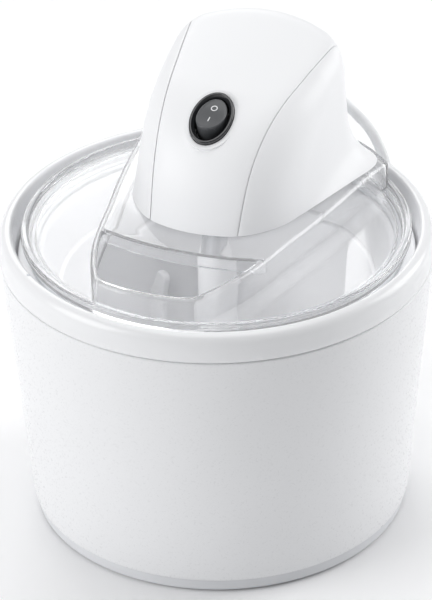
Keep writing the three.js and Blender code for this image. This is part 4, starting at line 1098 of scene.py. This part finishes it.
def make_switch():
    inner = 3.1
    profile = rounded([
        (0, -SWITCH_SEAT + 0.3, 0.1), (0, 0.95, 0.7), (1.3, 0.95, 0.35), (inner - 0.4, -0.9, 0.3),
        (inner, -14, 0.1), (inner + 4, -14, 0.1), (inner + 4, -15.5, 0.1), (1.8, -15.5, 0.1),
        (1.8, -SWITCH_SEAT + 0.3, 0.1),
    ], 4)
    loops = []
    count = 96
    for k in range(count):
        a = 2 * math.pi * k / count
        loops.append([((SWITCH_A - o) * math.cos(a), (SWITCH_B - o) * math.sin(a), z) for o, z in profile])
    bezel = place(new_object("switch_bezel", *loft(loops, closed_path=True)), switch_frame)
    finish_piece(bezel, "drive_unit", "switch_black", "switch_housing")

    lip_y = ROCKER_SWEEP * math.cos(math.radians(30))
    lip_z = ROCKER_SWEEP * math.sin(math.radians(30)) - ROCKER_PIVOT
    dish = 0.8
    half_a, half_b = OPEN_A - 0.5, OPEN_B - 1.7
    edge = 0.6

    def face_height(y):
        return lip_z - dish * (1 - min(1, abs(y) / lip_y) ** 2)

    rings = []
    for z in (-8, -6, -4, -2, 0, 1):
        rings.append((z, None))
    for k in range(1, 6):
        a = math.radians(18 * k)
        rings.append((edge * (1 - math.cos(a)), edge * (1 - math.sin(a))))
    loops = []
    count = 72
    for z, drop in rings:
        loop = []
        for k in range(count):
            t = 2 * math.pi * k / count
            shrink = 0.0 if drop is None else z
            x = (half_a - shrink) * math.cos(t)
            y = (half_b - shrink) * math.sin(t)
            height = min(z, face_height(y) - edge) if drop is None else face_height(y) - drop
            limit = math.sqrt(max(0.0, ROCKER_SWEEP ** 2 - (height + ROCKER_PIVOT) ** 2))
            loop.append((x, math.copysign(min(abs(y), limit), y), height))
        loops.append(loop)
    for share in (0.8, 0.55, 0.3, 0.1):
        loop = []
        for k in range(count):
            t = 2 * math.pi * k / count
            x, y = share * (half_a - edge) * math.cos(t), share * (half_b - edge) * math.sin(t)
            loop.append((x, y, face_height(y)))
        loops.append(loop)
    tilt = Matrix.Translation((0, 0, -ROCKER_PIVOT)) @ Matrix.Rotation(-ROCKER_TILT, 4, "X")
    tilt = switch_frame @ tilt @ Matrix.Translation((0, 0, ROCKER_PIVOT))
    key = place(new_object("switch_key", *loft(loops)), tilt)
    finish_piece(key, "rocker", "rocker_black", "switch_rocker")

    proud = 0.06
    ring = []
    for k in range(40):
        a = 2 * math.pi * k / 40
        loop = []
        for r, up in ((1.25, -0.1), (1.25, proud), (1.75, proud), (1.75, -0.1)):
            x, y = r * math.cos(a), MARK_O_Y + r * math.sin(a)
            loop.append((x, y, face_height(y) + up))
        ring.append(loop)
    mark_o = place(new_object("switch_mark_off", *loft(ring, closed_path=True)), tilt)
    bar = []
    for k in range(7):
        y = MARK_I_Y - 1.5 + 3.0 * k / 6
        bar.append([(-0.27, y, face_height(y) - 0.1), (-0.27, y, face_height(y) + proud),
                    (0.27, y, face_height(y) + proud), (0.27, y, face_height(y) - 0.1)])
    mark_i = place(new_object("switch_mark_on", *loft(bar)), tilt)
    for mark in (mark_o, mark_i):
        finish_piece(mark, "rocker", "rim_white")


def make_plate():
    alphas = np.linspace(0, 2 * math.pi, 120, endpoint=False)
    plate_low, plate_high = HOOD_Z + GAP, high("drive_base_plate").z
    depth = np.full_like(alphas, HOOD_WALL + 0.8)

    def at(t):
        return t * np.sin(alphas), CORE_Y - t * np.cos(alphas), plate_high + 0 * t

    x, y, _ = at(solve(at, depth))
    plate = prism("hood_plate", list(zip(x, y)), plate_low, plate_high)
    spigot_low = low("drive_base_plate").z
    spigot = post(spigot_low, plate_low + 1, SPIGOT_R, SPIGOT_R, 96)
    combine(plate, [spigot], "UNION")
    tools = [
        post(spigot_low + 2, plate_high + 1, SPIGOT_R - 2, SPIGOT_R - 2, 96),
        post(spigot_low - 1, plate_high + 2, 7.5, 7.5, 48),
    ]
    for i in range(4):
        centre = (low(f"cover_screw_{i + 1}") + high(f"cover_screw_{i + 1}")) / 2
        tools.append(post(plate_low - 1, plate_high + 1, 1.9, 1.9, 24, centre.x, centre.y))
        tools.append(post(plate_low - 1, plate_low + 2.1, 3.7, 3.7, 24, centre.x, centre.y))
    combine(plate, tools, "DIFFERENCE")
    finish_piece(plate, "drive_unit", "plate_white", "drive_base_plate")


BOOT_R = 6.2
BOOT_NECK_R = 4.4


def make_boot():
    """Strain relief: a ribbed, tapered boot along +Y."""
    y0, y1 = low("strain_relief").y, high("strain_relief").y
    flange = y0 + 8 + 2.9
    outline = [
        (0, y0), (BOOT_R, y0), (BOOT_R, y0 + 2.2), (BOOT_NECK_R, y0 + 2.2), (BOOT_NECK_R, flange - 0.6),
        (5.9, flange), (BOOT_R, flange + 0.5), (BOOT_R, flange + 1.6), (5.8, flange + 2.1),
    ]
    steps = 48
    for k in range(steps + 1):
        t = k / steps
        groove = 0.35 * max(0.0, math.cos(2 * math.pi * t * 6)) * (1 - t)
        outline.append((5.1 - 1.5 * t - groove, flange + 2.6 + (y1 - flange - 2.9) * t))
    outline += [(3.3, y1), (0, y1)]
    boot = turned("cord_boot", outline, 40)
    place(boot, lead_axis)
    finish_piece(boot, "drive_unit", "relief_white", "strain_relief")


make_covers()
make_switch()
make_plate()
make_boot()


# ---------------- studio
FLOOR_HALF = 3000
LIGHT_TARGET = Vector((0, 0, 0.13))  # metres


def make_floor():
    made = Shader("studio_floor", Specular_IOR_Level=0.2)
    made.colours(made.noise(3, 2), (0.96, 0.96, 0.965), (0.975, 0.975, 0.98))
    made.roughness(made.noise(8, 2), 0.55, 0.65)
    corners = [(x * FLOOR_HALF, y * FLOOR_HALF, 0) for x, y in ((-1, -1), (1, -1), (1, 1), (-1, 1))]
    floor = new_object("floor", corners, [(0, 1, 2, 3)])
    floor.data.materials.append(made.material)


def area_light(name, place_m, size, power):
    data = bpy.data.lights.new(name, "AREA")
    data.shape = "RECTANGLE"
    data.size, data.size_y = size
    data.energy = power
    light = bpy.data.objects.new(name, data)
    scene.collection.objects.link(light)
    light.location = place_m
    light.rotation_euler = (LIGHT_TARGET - light.location).to_track_quat("-Z", "Y").to_euler()
    return light


def only_on(light, *pieces):
    """A card that lights these pieces and nothing else."""
    lit = bpy.data.collections.new(light.name)
    for piece in pieces:
        lit.objects.link(bpy.data.objects[piece])
    light.light_linking.receiver_collection = lit


def make_lights():
    """Two opposite soft boxes, a top light, a card behind on the left, two linked cards and a dim room."""
    side = Vector((-0.731, -0.682, 0)) * 1.9
    area_light("key_left", side + Vector((0, 0, 0.95)), (1.3, 1.3), 20.5)
    area_light("back_right", -side + Vector((0, 0, 0.95)), (1.2, 1.3), 23)
    area_light("top", (-0.1, 0.1, 2.1), (1.5, 1.5), 13)
    area_light("back_left", (-1.25, 1.75, 1.4), (1.3, 1.1), 14)
    bowl_fill = area_light("bowl_fill", (0.35, -1.5, 1.5), (0.8, 0.8), 9)
    only_on(bowl_fill, "bowl_inside", "bowl_rim", "dasher")
    hood_fill = area_light("hood_fill", (0.9, -1.5, 0.2), (0.9, 0.9), 6.5)
    only_on(hood_fill, "hood_middle", "hood_right", "hood_left")
    world = bpy.data.worlds.new("studio")
    scene.world = world
    world.use_nodes = True
    background = world.node_tree.nodes["Background"]
    background.inputs["Color"].default_value = (0.97, 0.98, 1, 1)
    background.inputs["Strength"].default_value = 0.3


make_floor()
make_lights()
scene.view_settings.view_transform = "Standard"
